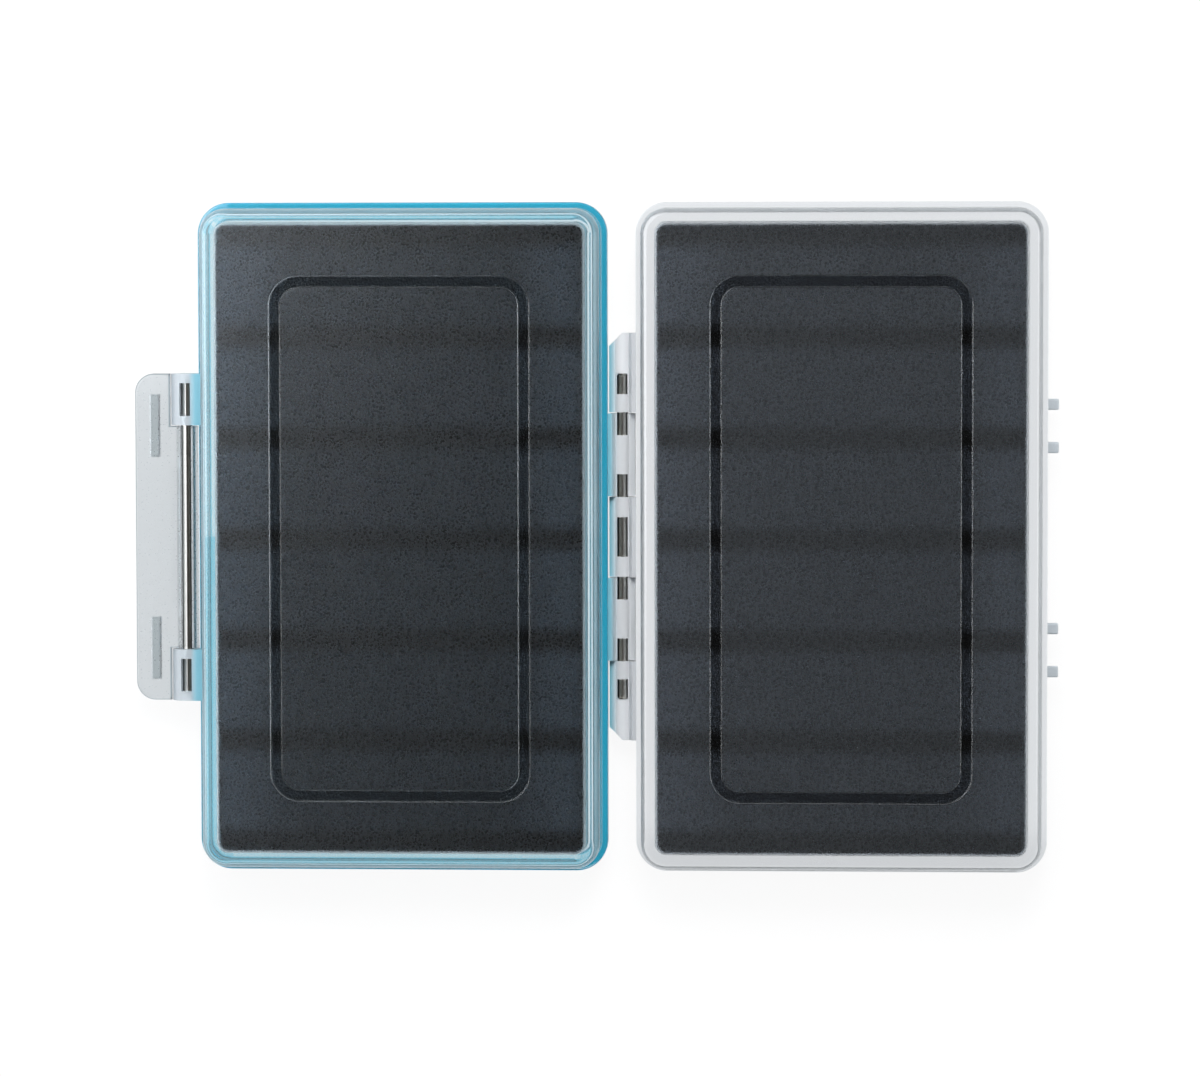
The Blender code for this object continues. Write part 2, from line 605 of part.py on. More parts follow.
def main():
    """Build the case."""
    clear_scene()
    parts = new_collection("battery_case")
    cutters = new_collection("battery_case_cutters")
    frosted = make_material("frosted_polycarbonate", (0.80, 0.83, 0.86), 0.35, alpha=0.45)
    latch_finish = make_material("latch_polycarbonate", (0.72, 0.76, 0.79), 0.30, alpha=0.75)
    silicone = make_material("blue_silicone", (0.01, 0.33, 0.55), 0.55)
    foam = make_material("black_foam", (0.045, 0.050, 0.056), 0.95)
    steel = make_material("stainless_steel", (0.62, 0.60, 0.57), 0.20, metallic=1.0)
    hinge_location = (HINGE_X, 0.0, PARTING_Z)
    lid_axis = make_axis("lid_axis", parts, hinge_location)
    latch_location = (HINGE_X - LATCH_PIN_DISTANCE, 0.0, PARTING_Z + LATCH_PIN_HEIGHT)
    latch_axis = make_axis("latch_axis", parts, latch_location)
    make_base_shell(parts, cutters, frosted)
    make_lid_shell(parts, cutters, frosted, lid_axis)
    make_seal(parts, silicone)
    make_foam("base", parts, BASE_SIDE, foam)
    make_foam("lid", parts, LID_SIDE, foam, lid_axis)
    make_pin("hinge_pin", parts, HINGE_PIN_RADIUS, 2.0 * HINGE_PIN_END, hinge_location, steel)
    make_pin("latch_pin", parts, LATCH_PIN_RADIUS, LATCH_PIN_LENGTH, latch_location, steel)
    make_latch(parts, cutters, latch_finish, latch_axis)
    print(f"hinge axis X {HINGE_X:.5f} Z {PARTING_Z:.5f}")
    print(f"latch axis X {latch_location[0]:.5f} Z {latch_location[2]:.5f}")
    print(f"flange {FLANGE_WIDTH:.5f} by {FLANGE_LENGTH:.5f}")
    print(f"outer faces at Z {PARTING_Z + SHELL_HEIGHT:.5f}")


main()
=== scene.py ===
"""The battery case, opened flat on a white table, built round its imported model.

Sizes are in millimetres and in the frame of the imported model: +Z up, the hinge along Y, the base
half towards -X and the lid half towards +X. Meshes are written in metres. In each half a height is
measured from the parting plane towards the outer face, and an inset inwards from the flange's edge.
"""

from __future__ import annotations

import logging
import math
from dataclasses import dataclass
from enum import Enum
from typing import Any

import bmesh
import bpy
import numpy as np
from mathutils import Euler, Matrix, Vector


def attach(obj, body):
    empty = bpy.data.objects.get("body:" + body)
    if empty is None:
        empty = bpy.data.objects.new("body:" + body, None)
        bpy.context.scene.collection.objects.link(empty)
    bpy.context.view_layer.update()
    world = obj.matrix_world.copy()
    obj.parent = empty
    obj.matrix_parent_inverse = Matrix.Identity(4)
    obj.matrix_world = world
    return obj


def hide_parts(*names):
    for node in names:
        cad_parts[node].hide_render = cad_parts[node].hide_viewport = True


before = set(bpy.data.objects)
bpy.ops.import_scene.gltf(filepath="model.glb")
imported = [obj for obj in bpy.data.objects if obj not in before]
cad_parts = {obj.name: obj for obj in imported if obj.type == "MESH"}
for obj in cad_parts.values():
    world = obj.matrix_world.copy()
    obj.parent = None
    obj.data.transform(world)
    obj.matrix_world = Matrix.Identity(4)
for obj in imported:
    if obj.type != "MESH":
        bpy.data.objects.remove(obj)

LOG = logging.getLogger("battery_case")
MILLIMETRE = 0.001
CORNER_STEPS = 14
ARC_STEPS = 7
ROUND_STEPS = 72
# How far a helper shape reaches past the surface that it joins or cuts.
OVERSHOOT = 0.5
# A length too small to show, for poles, seams and comparisons.
TINY = 0.01
# The rounding of an edge that looks sharp.
SHARP = 0.02
# Where the hinge lies along X, how far each half's middle lies from it, and how far apart the cells lie.
HINGE_X = 4.775
HALF_MIDDLE = 39.25
CELL_PITCH = 18.0
MERGE_DISTANCE = 0.002 * MILLIMETRE
CREASE_ANGLE = math.radians(32.0)
SMOOTH = {"interpolation_type": "SMOOTHSTEP"}
IMAGE_WIDTH = 1200.0
SENSOR_WIDTH = 36.0


class Side(Enum):
    """Which half of the case, as its direction from the hinge."""

    BASE = -1.0
    LID = 1.0


class Coat(Enum):
    """The finish of a stretch of moulded surface, as its place in a piece's list of materials."""

    FROSTED = 0
    POLISHED = 1
    SATIN = 2
    BLASTED = 3
    # Painted: a grey outline of shade on the lid and latch, and the seal's cyan glow on the base.
    EDGE = 4
    # Painted: the seal's blue light, carried up through the base's lip.
    PAINTED_SEAL_LIGHT = 5
    MILKY = 6
    CAVITY = 7


class Joining(Enum):
    """How a helper shape changes a piece."""

    FUSE = "UNION"
    CUT = "DIFFERENCE"


# Colours and shader nodes


def linear(hex_colour: str) -> tuple[float, float, float, float]:
    """Turn an sRGB hex colour into linear light.

    Args:
        hex_colour: Six hex digits after a hash.

    Returns:
        Linear red, green and blue, and a full alpha.
    """
    srgb = np.array([int(hex_colour[place:place + 2], 16) for place in (1, 3, 5)]) / 255.0
    light = np.where(srgb <= 0.04045, srgb / 12.92, ((srgb + 0.055) / 1.055) ** 2.4)
    return (float(light[0]), float(light[1]), float(light[2]), 1.0)


def add_node(tree: bpy.types.NodeTree, kind: str, settings: dict[str, Any] | None = None,
             **sockets: Any) -> bpy.types.Node:
    """Add one shader node with its settings, its constants and its links.

    Args:
        tree: The node tree that takes the node.
        kind: Blender's name for the node's type, less its first word, ShaderNode.
        settings: Values for the node's own properties.
        sockets: A constant, an output socket or a node, which stands for its first output, for each
            input. An input is named with underscores for spaces, and a name that ends in a number, such
            as Value_1, is taken as that place in the list.

    Returns:
        The new node.
    """
    node = tree.nodes.new("ShaderNode" + kind)
    for name, value in (settings or {}).items():
        setattr(node, name, value)
    for name, value in sockets.items():
        place = name.rsplit("_", 1)[-1]
        socket = node.inputs[int(place)] if place.isdigit() else node.inputs[name.replace("_", " ")]
        if isinstance(value, bpy.types.Node):
            value = value.outputs[0]
        if isinstance(value, bpy.types.NodeSocket):
            tree.links.new(value, socket)
        else:
            socket.default_value = value
    return node


def new_material(name: str) -> tuple[bpy.types.Material, bpy.types.NodeTree]:
    """Make an empty node material.

    Args:
        name: The material's name.

    Returns:
        The material and its node tree.
    """
    material = bpy.data.materials.new(name)
    material.use_nodes = True
    material.node_tree.nodes.clear()
    return material, material.node_tree


# Finishes


@dataclass(frozen=True)
class ClearPolycarbonate:
    """Injection-moulded clear polycarbonate, as its mould left it: textured, satin or polished.

    A polished mould leaves it as clear as glass. A textured one frosts it, so that what lies behind shows
    soft and dim. Milkiness stands for the light that thick or blasted plastic scatters within.
    """

    name: str
    tint: str
    roughness: float
    roughness_spread: float = 0.02
    grain: float = 0.5
    grain_depth: float = 0.01
    milkiness: float = 0.0
    fleck: float = 0.0
    painted_seal_glow: str = ""
    refraction: float = 1.585
    seal_middle: float = HINGE_X - HALF_MIDDLE
    seal_full: float = 36.9
    seal_gone: float = 38.4

    def painted_seal_share(self, tree: bpy.types.NodeTree, place: bpy.types.NodeSocket) -> bpy.types.Node:
        """How much painted seal blue a place takes, by its distance from the base's middle line.

        Args:
            tree: The node tree that takes the nodes.
            place: The place, as an output socket.

        Returns:
            The node that gives the share: 1 at the base's flange and 0 from 1.7 mm past it.
        """
        across = add_node(tree, "SeparateXYZ", Vector=place).outputs["X"]
        shifted = add_node(tree, "Math", {"operation": "SUBTRACT"}, Value_0=across,
                           Value_1=self.seal_middle * MILLIMETRE)
        beside = add_node(tree, "Math", {"operation": "ABSOLUTE"}, Value_0=shifted)
        return add_node(tree, "MapRange", SMOOTH, Value=beside, From_Min=self.seal_full * MILLIMETRE,
                        From_Max=self.seal_gone * MILLIMETRE, To_Min=1.0, To_Max=0.0)

    def material(self) -> bpy.types.Material:
        """Build the material: glass-like plastic whose grain scatters what lies behind it.

        Returns:
            The material.
        """
        material, tree = new_material(self.name)
        place = add_node(tree, "TexCoord").outputs["Object"]
        # The grain of the mould's texture is 0.05 mm on the real part, and is drawn coarser to show.
        grain = add_node(tree, "TexNoise", Vector=place, Scale=1.0 / (self.grain * MILLIMETRE), Detail=1.0,
                         Roughness=0.6)
        # The noise hardly leaves the span from 0.3 to 0.7.
        span = {"From_Min": 0.3, "From_Max": 0.7}
        rough = add_node(tree, "MapRange", Value=grain, To_Min=self.roughness - self.roughness_spread,
                         To_Max=self.roughness + self.roughness_spread, **span)
        bump = add_node(tree, "Bump", Height=grain, Strength=self.grain_depth,
                        Distance=self.grain * MILLIMETRE)
        colour: Any = linear(self.tint)
        # Painted light: by the base's flange the colour turns to the seal's blue, as if its light spread
        # through the plastic.
        if self.painted_seal_glow:
            colour = add_node(tree, "Mix", {"data_type": "RGBA"}, B_7=linear(self.painted_seal_glow),
                              Factor=self.painted_seal_share(tree, place), A_6=colour).outputs[2]
        if self.fleck:
            fleck = add_node(tree, "MapRange", Value=grain, To_Min=1.0 - self.fleck, To_Max=1.0, **span)
            colour = add_node(tree, "VectorMath", {"operation": "SCALE"}, Vector=colour[:3], Scale=fleck)
        shader = add_node(tree, "BsdfPrincipled", Base_Color=colour, Roughness=rough, IOR=self.refraction,
                          Transmission_Weight=1.0 - self.milkiness, Normal=bump)
        add_node(tree, "OutputMaterial", Surface=shader)
        return material


@dataclass(frozen=True)
class Silicone:
    """Compression-moulded silicone rubber: saturated, soft to light and faintly matt."""

    name: str = "moulded_silicone_rubber"
    colour: str = "#30cfee"
    roughness: float = 0.42
    roughness_spread: float = 0.1
    clearness: float = 0.8
    refraction: float = 1.41
    bloom: float = 2.0

    def material(self) -> bpy.types.Material:
        """Build the material: a blue that light enters a little way, with a fine moulded bloom.

        Returns:
            The material.
        """
        material, tree = new_material(self.name)
        place = add_node(tree, "TexCoord").outputs["Object"]
        # Silicone picks up a dusty bloom in patches of about 2 mm.
        bloom = add_node(tree, "TexNoise", Vector=place, Scale=1.0 / (self.bloom * MILLIMETRE), Detail=4.0)
        rough = add_node(tree, "MapRange", Value=bloom, To_Min=self.roughness - self.roughness_spread,
                         To_Max=self.roughness + self.roughness_spread)
        shader = add_node(tree, "BsdfPrincipled", Base_Color=linear(self.colour), Roughness=rough,
                          IOR=self.refraction, Transmission_Weight=self.clearness)
        add_node(tree, "OutputMaterial", Surface=shader)
        return material


@dataclass(frozen=True)
class CellFoam:
    """Closed-cell polyethylene foam, cut from sheet: dark, matt and finely pocked."""

    name: str = "closed_cell_polyethylene_foam"
    colour: str = "#2f3135"
    painted_valley_shade_colour: str = "#020203"
    painted_valley_shade: float = 1.0
    valley_shade_core: float = 0.7
    valley_shade_reach: float = 3.3
    divider_pitch: float = CELL_PITCH
    hinge_x: float = HINGE_X
    middle: float = HALF_MIDDLE
    edge_start: float = 15.0
    edge_end: float = 33.0
    painted_wall_light_gain: float = 2.9
    cell: float = 0.5
    cell_depth: float = 0.2
    cell_relief: float = 0.6
    wall_distance: float = 0.7
    middle_tone: float = 0.55
    wall_tone: float = 1.35
    roughness: float = 0.92
    sheen: float = 0.1

    def material(self) -> bpy.types.Material:
        """Build the material: dark foam with painted shade along the valley over each divider, and its cut
        cells showing.

        Returns:
            The material.
        """
        material, tree = new_material(self.name)
        place = add_node(tree, "TexCoord").outputs["Object"]
        along = add_node(tree, "SeparateXYZ", Vector=place).outputs["Y"]
        # Painted shade: dark lines along the valley over every divider, one cell pitch apart.
        distance = add_node(tree, "Math", {"operation": "PINGPONG"}, Value_0=along,
                            Value_1=self.divider_pitch * MILLIMETRE / 2.0)
        painted_valley_shade = add_node(tree, "MapRange", SMOOTH, Value=distance, From_Min=self.valley_shade_core * MILLIMETRE,
                           From_Max=self.valley_shade_reach * MILLIMETRE, To_Min=self.painted_valley_shade, To_Max=0.0)
        tone = add_node(tree, "Mix", {"data_type": "RGBA"}, Factor=painted_valley_shade, A_6=linear(self.colour),
                        B_7=linear(self.painted_valley_shade_colour))
        # Painted light: towards the long walls the foam is paler, as if lit through the walls, by its
        # distance from its half's middle line.
        across = add_node(tree, "SeparateXYZ", Vector=place).outputs["X"]
        for offset in (self.hinge_x, self.middle):
            shifted = add_node(tree, "Math", {"operation": "SUBTRACT"}, Value_0=across,
                               Value_1=offset * MILLIMETRE)
            across = add_node(tree, "Math", {"operation": "ABSOLUTE"}, Value_0=shifted)
        edge = add_node(tree, "MapRange", {"interpolation_type": "SMOOTHERSTEP"}, Value=across,
                        From_Min=self.edge_start * MILLIMETRE, From_Max=self.edge_end * MILLIMETRE,
                        To_Min=1.0, To_Max=self.painted_wall_light_gain)
        # The cells of the foam are about 0.5 mm across, paler at their walls than in their middles.
        cells = add_node(tree, "TexVoronoi", Vector=place, Scale=1.0 / (self.cell * MILLIMETRE),
                         Randomness=1.0)
        cell_tone = add_node(tree, "MapRange", Value=cells, From_Max=self.wall_distance,
                             To_Min=self.middle_tone, To_Max=self.wall_tone)
        shade = add_node(tree, "Math", {"operation": "MULTIPLY"}, Value_0=edge, Value_1=cell_tone)
        colour = add_node(tree, "VectorMath", {"operation": "SCALE"}, Vector=tone.outputs[2], Scale=shade)
        bump = add_node(tree, "Bump", Height=cells, Strength=self.cell_relief,
                        Distance=self.cell_depth * MILLIMETRE)
        shader = add_node(tree, "BsdfPrincipled", Base_Color=colour, Roughness=self.roughness,
                          Specular_IOR_Level=self.sheen, Normal=bump)
        add_node(tree, "OutputMaterial", Surface=shader)
        return material


@dataclass(frozen=True)
class GroundSteel:
    """Stainless steel rod, drawn and ground: bright, with a painted highlight on one side and painted shade
    on its flanks.
    """

    name: str
    axis_x: float
    left_painted_tone: str
    right_painted_tone: str
    roughness: float = 0.3
    roughness_fall: float = 0.02
    roughness_rise: float = 0.04
    streak: float = 1.0 / 6.0
    streak_stretch: float = 50.0
    flank_painted_shade: str = "#2a2622"
    seam: float = 0.1
    flank_start: float = 0.5
    flank_end: float = 0.8

    def material(self) -> bpy.types.Material:
        """Build the material: bare metal, with one side of the rod painted brighter than the other as a
        highlight.

        Returns:
            The material.
        """
        material, tree = new_material(self.name)
        place = add_node(tree, "TexCoord").outputs["Object"]
        # Drawing leaves streaks too fine to show. Here they are 0.17 mm wide, and 50 times as long.
        stretched = add_node(tree, "Mapping", Vector=place, Scale=(1.0, 1.0 / self.streak_stretch, 1.0))
        streaks = add_node(tree, "TexNoise", Vector=stretched, Scale=1.0 / (self.streak * MILLIMETRE),
                           Detail=2.0)
        rough = add_node(tree, "MapRange", Value=streaks, To_Min=self.roughness - self.roughness_fall,
                         To_Max=self.roughness + self.roughness_rise)
        # Painted highlight: the rod's two sides take different tones, so one side looks brighter.
        across = add_node(tree, "SeparateXYZ", Vector=place).outputs["X"]
        offset = add_node(tree, "Math", {"operation": "SUBTRACT"}, Value_0=across,
                          Value_1=self.axis_x * MILLIMETRE)
        side = add_node(tree, "MapRange", SMOOTH, Value=offset, From_Min=-self.seam * MILLIMETRE,
                        From_Max=self.seam * MILLIMETRE)
        painted_sides = add_node(tree, "Mix", {"data_type": "RGBA"}, Factor=side, A_6=linear(self.left_painted_tone),
                         B_7=linear(self.right_painted_tone))
        # Painted shade: the flanks lie against the bore, where little light comes in, so they are painted
        # darker.
        outwards = add_node(tree, "Math", {"operation": "ABSOLUTE"}, Value_0=offset)
        painted_flank_shade = add_node(tree, "MapRange", SMOOTH, Value=outwards, From_Min=self.flank_start * MILLIMETRE,
                         From_Max=self.flank_end * MILLIMETRE)
        colour = add_node(tree, "Mix", {"data_type": "RGBA"}, Factor=painted_flank_shade, A_6=painted_sides.outputs[2],
                          B_7=linear(self.flank_painted_shade))
        shader = add_node(tree, "BsdfPrincipled", Base_Color=colour.outputs[2], Metallic=1.0,
                          Roughness=rough)
        add_node(tree, "OutputMaterial", Surface=shader)
        return material


@dataclass(frozen=True)
class TableSheet:
    """White acrylic sheet under the case, lit from below as on a light table: plain white."""

    name: str = "white_acrylic_sheet"
    colour: str = "#f4f5f6"
    patch: float = 250.0
    least_roughness: float = 0.55
    most_roughness: float = 0.7
    sheen: float = 0.2
    glow_share: float = 0.92
    front_dimming: float = 0.8
    front_y: float = -58.5
    bright_y: float = -50.0

    def material(self) -> bpy.types.Material:
        """Build the material: white to the eye and to reflections, and still taking the shadow.

        Returns:
            The material.
        """
        material, tree = new_material(self.name)
        place = add_node(tree, "TexCoord").outputs["Object"]
        # The sheet's matt surface varies in wide patches, of about 250 mm.
        haze = add_node(tree, "TexNoise", Vector=place, Scale=1.0 / (self.patch * MILLIMETRE), Detail=2.0)
        rough = add_node(tree, "MapRange", Value=haze, To_Min=self.least_roughness,
                         To_Max=self.most_roughness)
        matt = add_node(tree, "BsdfPrincipled", Base_Color=linear(self.colour), Roughness=rough,
                        Specular_IOR_Level=self.sheen)
        glow = add_node(tree, "Emission", Color=(1.0, 1.0, 1.0, 1.0), Strength=1.0)
        # The eye and the lamps look through the sheet, so that the lid still shows when it swings below it.
        open_side = add_node(tree, "BsdfTransparent")
        rays = add_node(tree, "LightPath").outputs
        straight = add_node(tree, "Math", {"operation": "MAXIMUM"}, Value_0=rays["Is Camera Ray"],
                            Value_1=rays["Is Shadow Ray"])
        behind = add_node(tree, "MixShader", Fac=straight, Shader_1=glow, Shader_2=open_side)
        bent = add_node(tree, "Math", {"operation": "MAXIMUM"}, Value_0=rays["Is Transmission Ray"],
                        Value_1=rays["Is Glossy Ray"])
        # Seen through the plastic, the sheet is dimmer at its front, where the case shades it.
        along = add_node(tree, "SeparateXYZ", Vector=place).outputs["Y"]
        brightness = add_node(tree, "MapRange", SMOOTH, Value=along, From_Min=self.front_y * MILLIMETRE,
                              From_Max=self.bright_y * MILLIMETRE, To_Min=self.front_dimming, To_Max=1.0)
        through = add_node(tree, "Math", {"operation": "MULTIPLY"}, Value_0=brightness, Value_1=bent)
        seen = add_node(tree, "Math", {"operation": "MAXIMUM"}, Value_0=straight, Value_1=through)
        share = add_node(tree, "Math", {"operation": "MULTIPLY"}, Value_0=seen, Value_1=self.glow_share)
        lit = add_node(tree, "MixShader", Fac=share, Shader_1=matt, Shader_2=behind)
        # From below the sheet is left open, so that the underside of the case can be looked at.
        faces = add_node(tree, "NewGeometry")
        whole = add_node(tree, "MixShader", Fac=faces.outputs["Backfacing"], Shader_1=lit,
                         Shader_2=open_side)
        add_node(tree, "OutputMaterial", Surface=whole)
        return material


# Surfaces worked out as arrays


@dataclass
class Surface:
    """A mesh before it is put into the scene: points in millimetres, faces and their finishes."""

    points: np.ndarray
    faces: list[list[int]]
    coats: list[int]

    def joined(self, other: Surface) -> Surface:
        """Put another surface beside this one in the same mesh.

        Args:
            other: The surface to add, whose faces all have four corners.

        Returns:
            Both surfaces as one.
        """
        shifted = (np.array(other.faces) + len(self.points)).tolist()
        return Surface(np.vstack((self.points, other.points)), self.faces + shifted,
                       self.coats + other.coats)


def rounded_rectangles(half_x: np.ndarray, half_y: np.ndarray, radius: np.ndarray,
                       steps: int = CORNER_STEPS) -> np.ndarray:
    """Points round several rounded rectangles at once.

    A point is its corner's centre plus the radius times (cos a, sin a), where the angle a runs
    through a quarter turn at each corner in turn.

    Args:
        half_x: Half of each rectangle's width.
        half_y: Half of each rectangle's length.
        radius: Each rectangle's corner radius.
        steps: How many steps draw a quarter turn.

    Returns:
        An array of rectangles by points by two.
    """
    quarter = np.linspace(0.0, np.pi / 2.0, steps + 1)
    angle = (np.arange(4)[:, None] * np.pi / 2.0 + quarter).ravel()
    sign = np.repeat([(1.0, 1.0), (-1.0, 1.0), (-1.0, -1.0), (1.0, -1.0)], steps + 1, axis=0)
    centre = np.stack((half_x - radius, half_y - radius), axis=-1)[:, None, :] * sign
    return centre + radius[:, None, None] * np.stack((np.cos(angle), np.sin(angle)), axis=-1)


def rounded_line(corners: list[tuple[float, float, float]], steps: int = ARC_STEPS) -> np.ndarray:
    """An open line through given corners, each rounded by its own radius.

    Between the unit directions a and b to its two neighbours, with half their angle h, a corner's arc
    touches the runs at radius / tan h and has its centre at radius / sin h on the bisector. The arc's
    points turn from one touching point to the other as a weighted sum of the two spokes.

    Args:
        corners: Across, up and radius of each corner. The first and last are the line's ends.
        steps: How many steps draw one arc.

    Returns:
        The line's points, one a row.
    """
    given = np.array(corners, float)
    at, radius = given[1:-1, :2], given[1:-1, 2:]
    back = given[:-2, :2] - at
    ahead = given[2:, :2] - at
    back /= np.linalg.norm(back, axis=1, keepdims=True)
    ahead /= np.linalg.norm(ahead, axis=1, keepdims=True)
    half = np.arccos(np.clip((back * ahead).sum(1, keepdims=True), -1.0, 1.0)) / 2.0
    bisector = back + ahead
    bisector /= np.linalg.norm(bisector, axis=1, keepdims=True)
    centre = at + bisector * radius / np.sin(half)
    first = at + back * radius / np.tan(half) - centre
    last = at + ahead * radius / np.tan(half) - centre
    swing = (np.pi - 2.0 * half)[:, None, :]
    share = np.linspace(0.0, 1.0, steps + 1)[None, :, None]
    spokes = (np.sin((1.0 - share) * swing) * first[:, None] + np.sin(share * swing) * last[:, None])
    arcs = centre[:, None] + spokes / np.sin(swing)
    return np.vstack((given[:1, :2], arcs.reshape(-1, 2), given[-1:, :2]))


def loft(rings: np.ndarray, coats: np.ndarray, closed: bool = False, capped: bool = True) -> Surface:
    """Skin a stack of closed rings that all have the same number of points.

    Face (i, j) joins points j and j + 1 of ring i to the same points of ring i + 1.

    Args:
        rings: An array of rings by points by three.
        coats: The finish index of the strip after each ring.
        closed: Whether the last ring joins the first, as round a hoop.
        capped: Whether the first and last ring are each closed by one flat face.

    Returns:
        The surface.
    """
    count, around = rings.shape[:2]
    strips = np.arange(count if closed else count - 1)
    row, step = np.meshgrid(strips, np.arange(around), indexing="ij")
    after, onward = (row + 1) % count, (step + 1) % around
    quads = np.stack((row * around + step, row * around + onward, after * around + onward,
                      after * around + step), axis=-1)
    faces = quads.reshape(-1, 4).tolist()
    finishes = np.repeat(coats[strips], around).tolist()
    if capped and not closed:
        faces += [list(range(around))[::-1], list(range((count - 1) * around, count * around))]
        finishes += [int(coats[0]), int(coats[-1])]
    return Surface(rings.reshape(-1, 3), faces, finishes)


def prism(outline: np.ndarray, low: float, high: float, across: tuple[float, float],
          coat: Coat = Coat.SATIN) -> Surface:
    """A section that stands in X and Z and runs straight along Y.

    Args:
        outline: The section's points, one a row.
        low: Where the prism starts along Y.
        high: Where it ends.
        across: Where the section's own origin lies in X and Z.
        coat: The finish of its surface.

    Returns:
        The closed surface.
    """
    ends = np.array([low, high])
    rings = np.empty((2, len(outline), 3))
    rings[:, :, 0] = outline[:, 0] + across[0]
    rings[:, :, 1] = ends[:, None]
    rings[:, :, 2] = outline[:, 1] + across[1]
    return loft(rings, np.full(2, coat.value))


def arc(radius: float, start: float, end: float) -> np.ndarray:
    """Points on an arc about the origin.

    Args:
        radius: The arc's radius.
        start: Its first angle in degrees.
        end: Its last angle in degrees.

    Returns:
        The points, one a row.
    """
    steps = max(2, round(abs(end - start) / 360.0 * ROUND_STEPS))
    angle = np.radians(np.linspace(start, end, steps + 1))
    return radius * np.stack((np.cos(angle), np.sin(angle)), axis=-1)


def at_both_ends(near: float, far: float) -> list[tuple[float, float]]:
    """A span along Y between two distances from the middle, and its mirror image."""
    return [(near, far), (-far, -near)]


def box_outline(low_x: float, high_x: float, low_z: float, high_z: float) -> np.ndarray:
    """The four corners of a plain rectangle."""
    return np.array([(low_x, low_z), (high_x, low_z), (high_x, high_z), (low_x, high_z)])


def turned_bar(radius: float, half_length: float, rounding: float, centre: tuple[float, float],
               coat: Coat = Coat.SATIN) -> Surface:
    """A round bar along Y with rounded ends.

    The radius at a place along Y follows a line rounded at both ends, and each ring is that radius
    times (cos a, sin a) in X and Z.

    Args:
        radius: The bar's radius.
        half_length: Half of its length.
        rounding: The radius of its end edges.
        centre: Where its axis lies in X and Z.
        coat: The finish of its surface.

    Returns:
        The closed surface.
    """
    line = rounded_line([(TINY, -half_length, 0.0), (radius, -half_length, rounding),
                         (radius, half_length, rounding), (TINY, half_length, 0.0)])
    angle = np.linspace(0.0, 2.0 * np.pi, ROUND_STEPS, endpoint=False)
    rings = np.empty((len(line), ROUND_STEPS, 3))
    rings[:, :, 0] = centre[0] + line[:, :1] * np.cos(angle)
    rings[:, :, 1] = line[:, 1:]
    rings[:, :, 2] = centre[1] + line[:, :1] * np.sin(angle)
    return loft(rings, np.full(len(line), coat.value))


def to_object(name: str, surface: Surface, materials: list[bpy.types.Material]) -> bpy.types.Object:
    """Put a surface into the scene with its faces turned outwards.

    Args:
        name: The object's name.
        surface: The surface, in millimetres.
        materials: The materials that its finish indices stand for.

    Returns:
        The new object, at the origin and in metres.
    """
    mesh = bpy.data.meshes.new(name)
    mesh.from_pydata((surface.points * MILLIMETRE).tolist(), [], surface.faces)
    for material in materials:
        mesh.materials.append(material)
    mesh.polygons.foreach_set("material_index", np.minimum(surface.coats, len(materials) - 1))
    edit = bmesh.new()
    edit.from_mesh(mesh)
    bmesh.ops.remove_doubles(edit, verts=edit.verts[:], dist=MERGE_DISTANCE)
    bmesh.ops.recalc_face_normals(edit, faces=edit.faces[:])
    edit.to_mesh(mesh)
    edit.free()
    piece = bpy.data.objects.new(name, mesh)
    bpy.context.scene.collection.objects.link(piece)
    return piece


def shaped(piece: bpy.types.Object, helper: Surface, joining: Joining) -> None:
    """Join a helper shape to a piece or cut it away, and keep the result as the piece's mesh.

    Args:
        piece: The piece to change.
        helper: The helper shape.
        joining: Whether it is joined or cut away.
    """
    tool = to_object(piece.name + "_helper", helper, list(piece.data.materials))
    step = piece.modifiers.new("shape", "BOOLEAN")
    step.operation = joining.value
    step.solver = "EXACT"
    step.object = tool
    keep_modified(piece)
    bpy.data.meshes.remove(tool.data)


def keep_modified(piece: bpy.types.Object) -> None:
    """Replace a piece's mesh by what its modifiers make of it.

    Args:
        piece: The piece, which loses its modifiers.
    """
    bpy.context.view_layer.update()
    evaluated = piece.evaluated_get(bpy.context.evaluated_depsgraph_get())
    mesh = bpy.data.meshes.new_from_object(evaluated)
    piece.modifiers.clear()
    old = piece.data
    piece.data = mesh
    bpy.data.meshes.remove(old)
    mesh.name = piece.name


def smoothed(piece: bpy.types.Object) -> None:
    """Shade a piece smoothly between its creases, with its flat faces kept flat.

    Args:
        piece: The piece to shade.
    """
    piece.data.shade_smooth()
    piece.data.set_sharp_from_angle(angle=CREASE_ANGLE)
    weighted = piece.modifiers.new("flat_faces", "WEIGHTED_NORMAL")
    weighted.keep_sharp = True
    weighted.weight = 100


def report(piece: bpy.types.Object, words: str) -> None:
    """Log a piece's name, what it is and how many faces it has."""
    LOG.info("%s: %s, %d faces", piece.name, words, len(piece.data.polygons))


# The case's two halves


@dataclass
class CaseSizes:
    """The sizes that both halves share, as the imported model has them."""

    hinge_x: float = HINGE_X
    parting_z: float = 2.35
    hinge_reach: float = 2.55
    half_width: float = 36.7
    half_length: float = 59.9
    corner: float = 5.6
    tight_corner: float = 1.5
    flange_overhang: float = 1.1
    cavity_inset: float = 3.6
    cavity_fillet: float = 0.5
    ceiling_inset: float = 9.0
    foam_inset: float = 3.9
    frost_inset: float = 4.0
    rim_height: float = 0.95
    rim_rounding: float = 0.15
    flange_height: float = 3.6
    flange_rounding: float = 0.2
    cavity_height: float = 9.2
    shell_height: float = 11.0
    fillet: float = 1.5
    groove_half_width: float = 23.2
    groove_half_length: float = 46.85
    groove_corner: float = 5.3
    groove_width: float = 2.0
    groove_margin: float = 1.0
    groove_depth: float = 0.5
    groove_rounding: float = 0.16


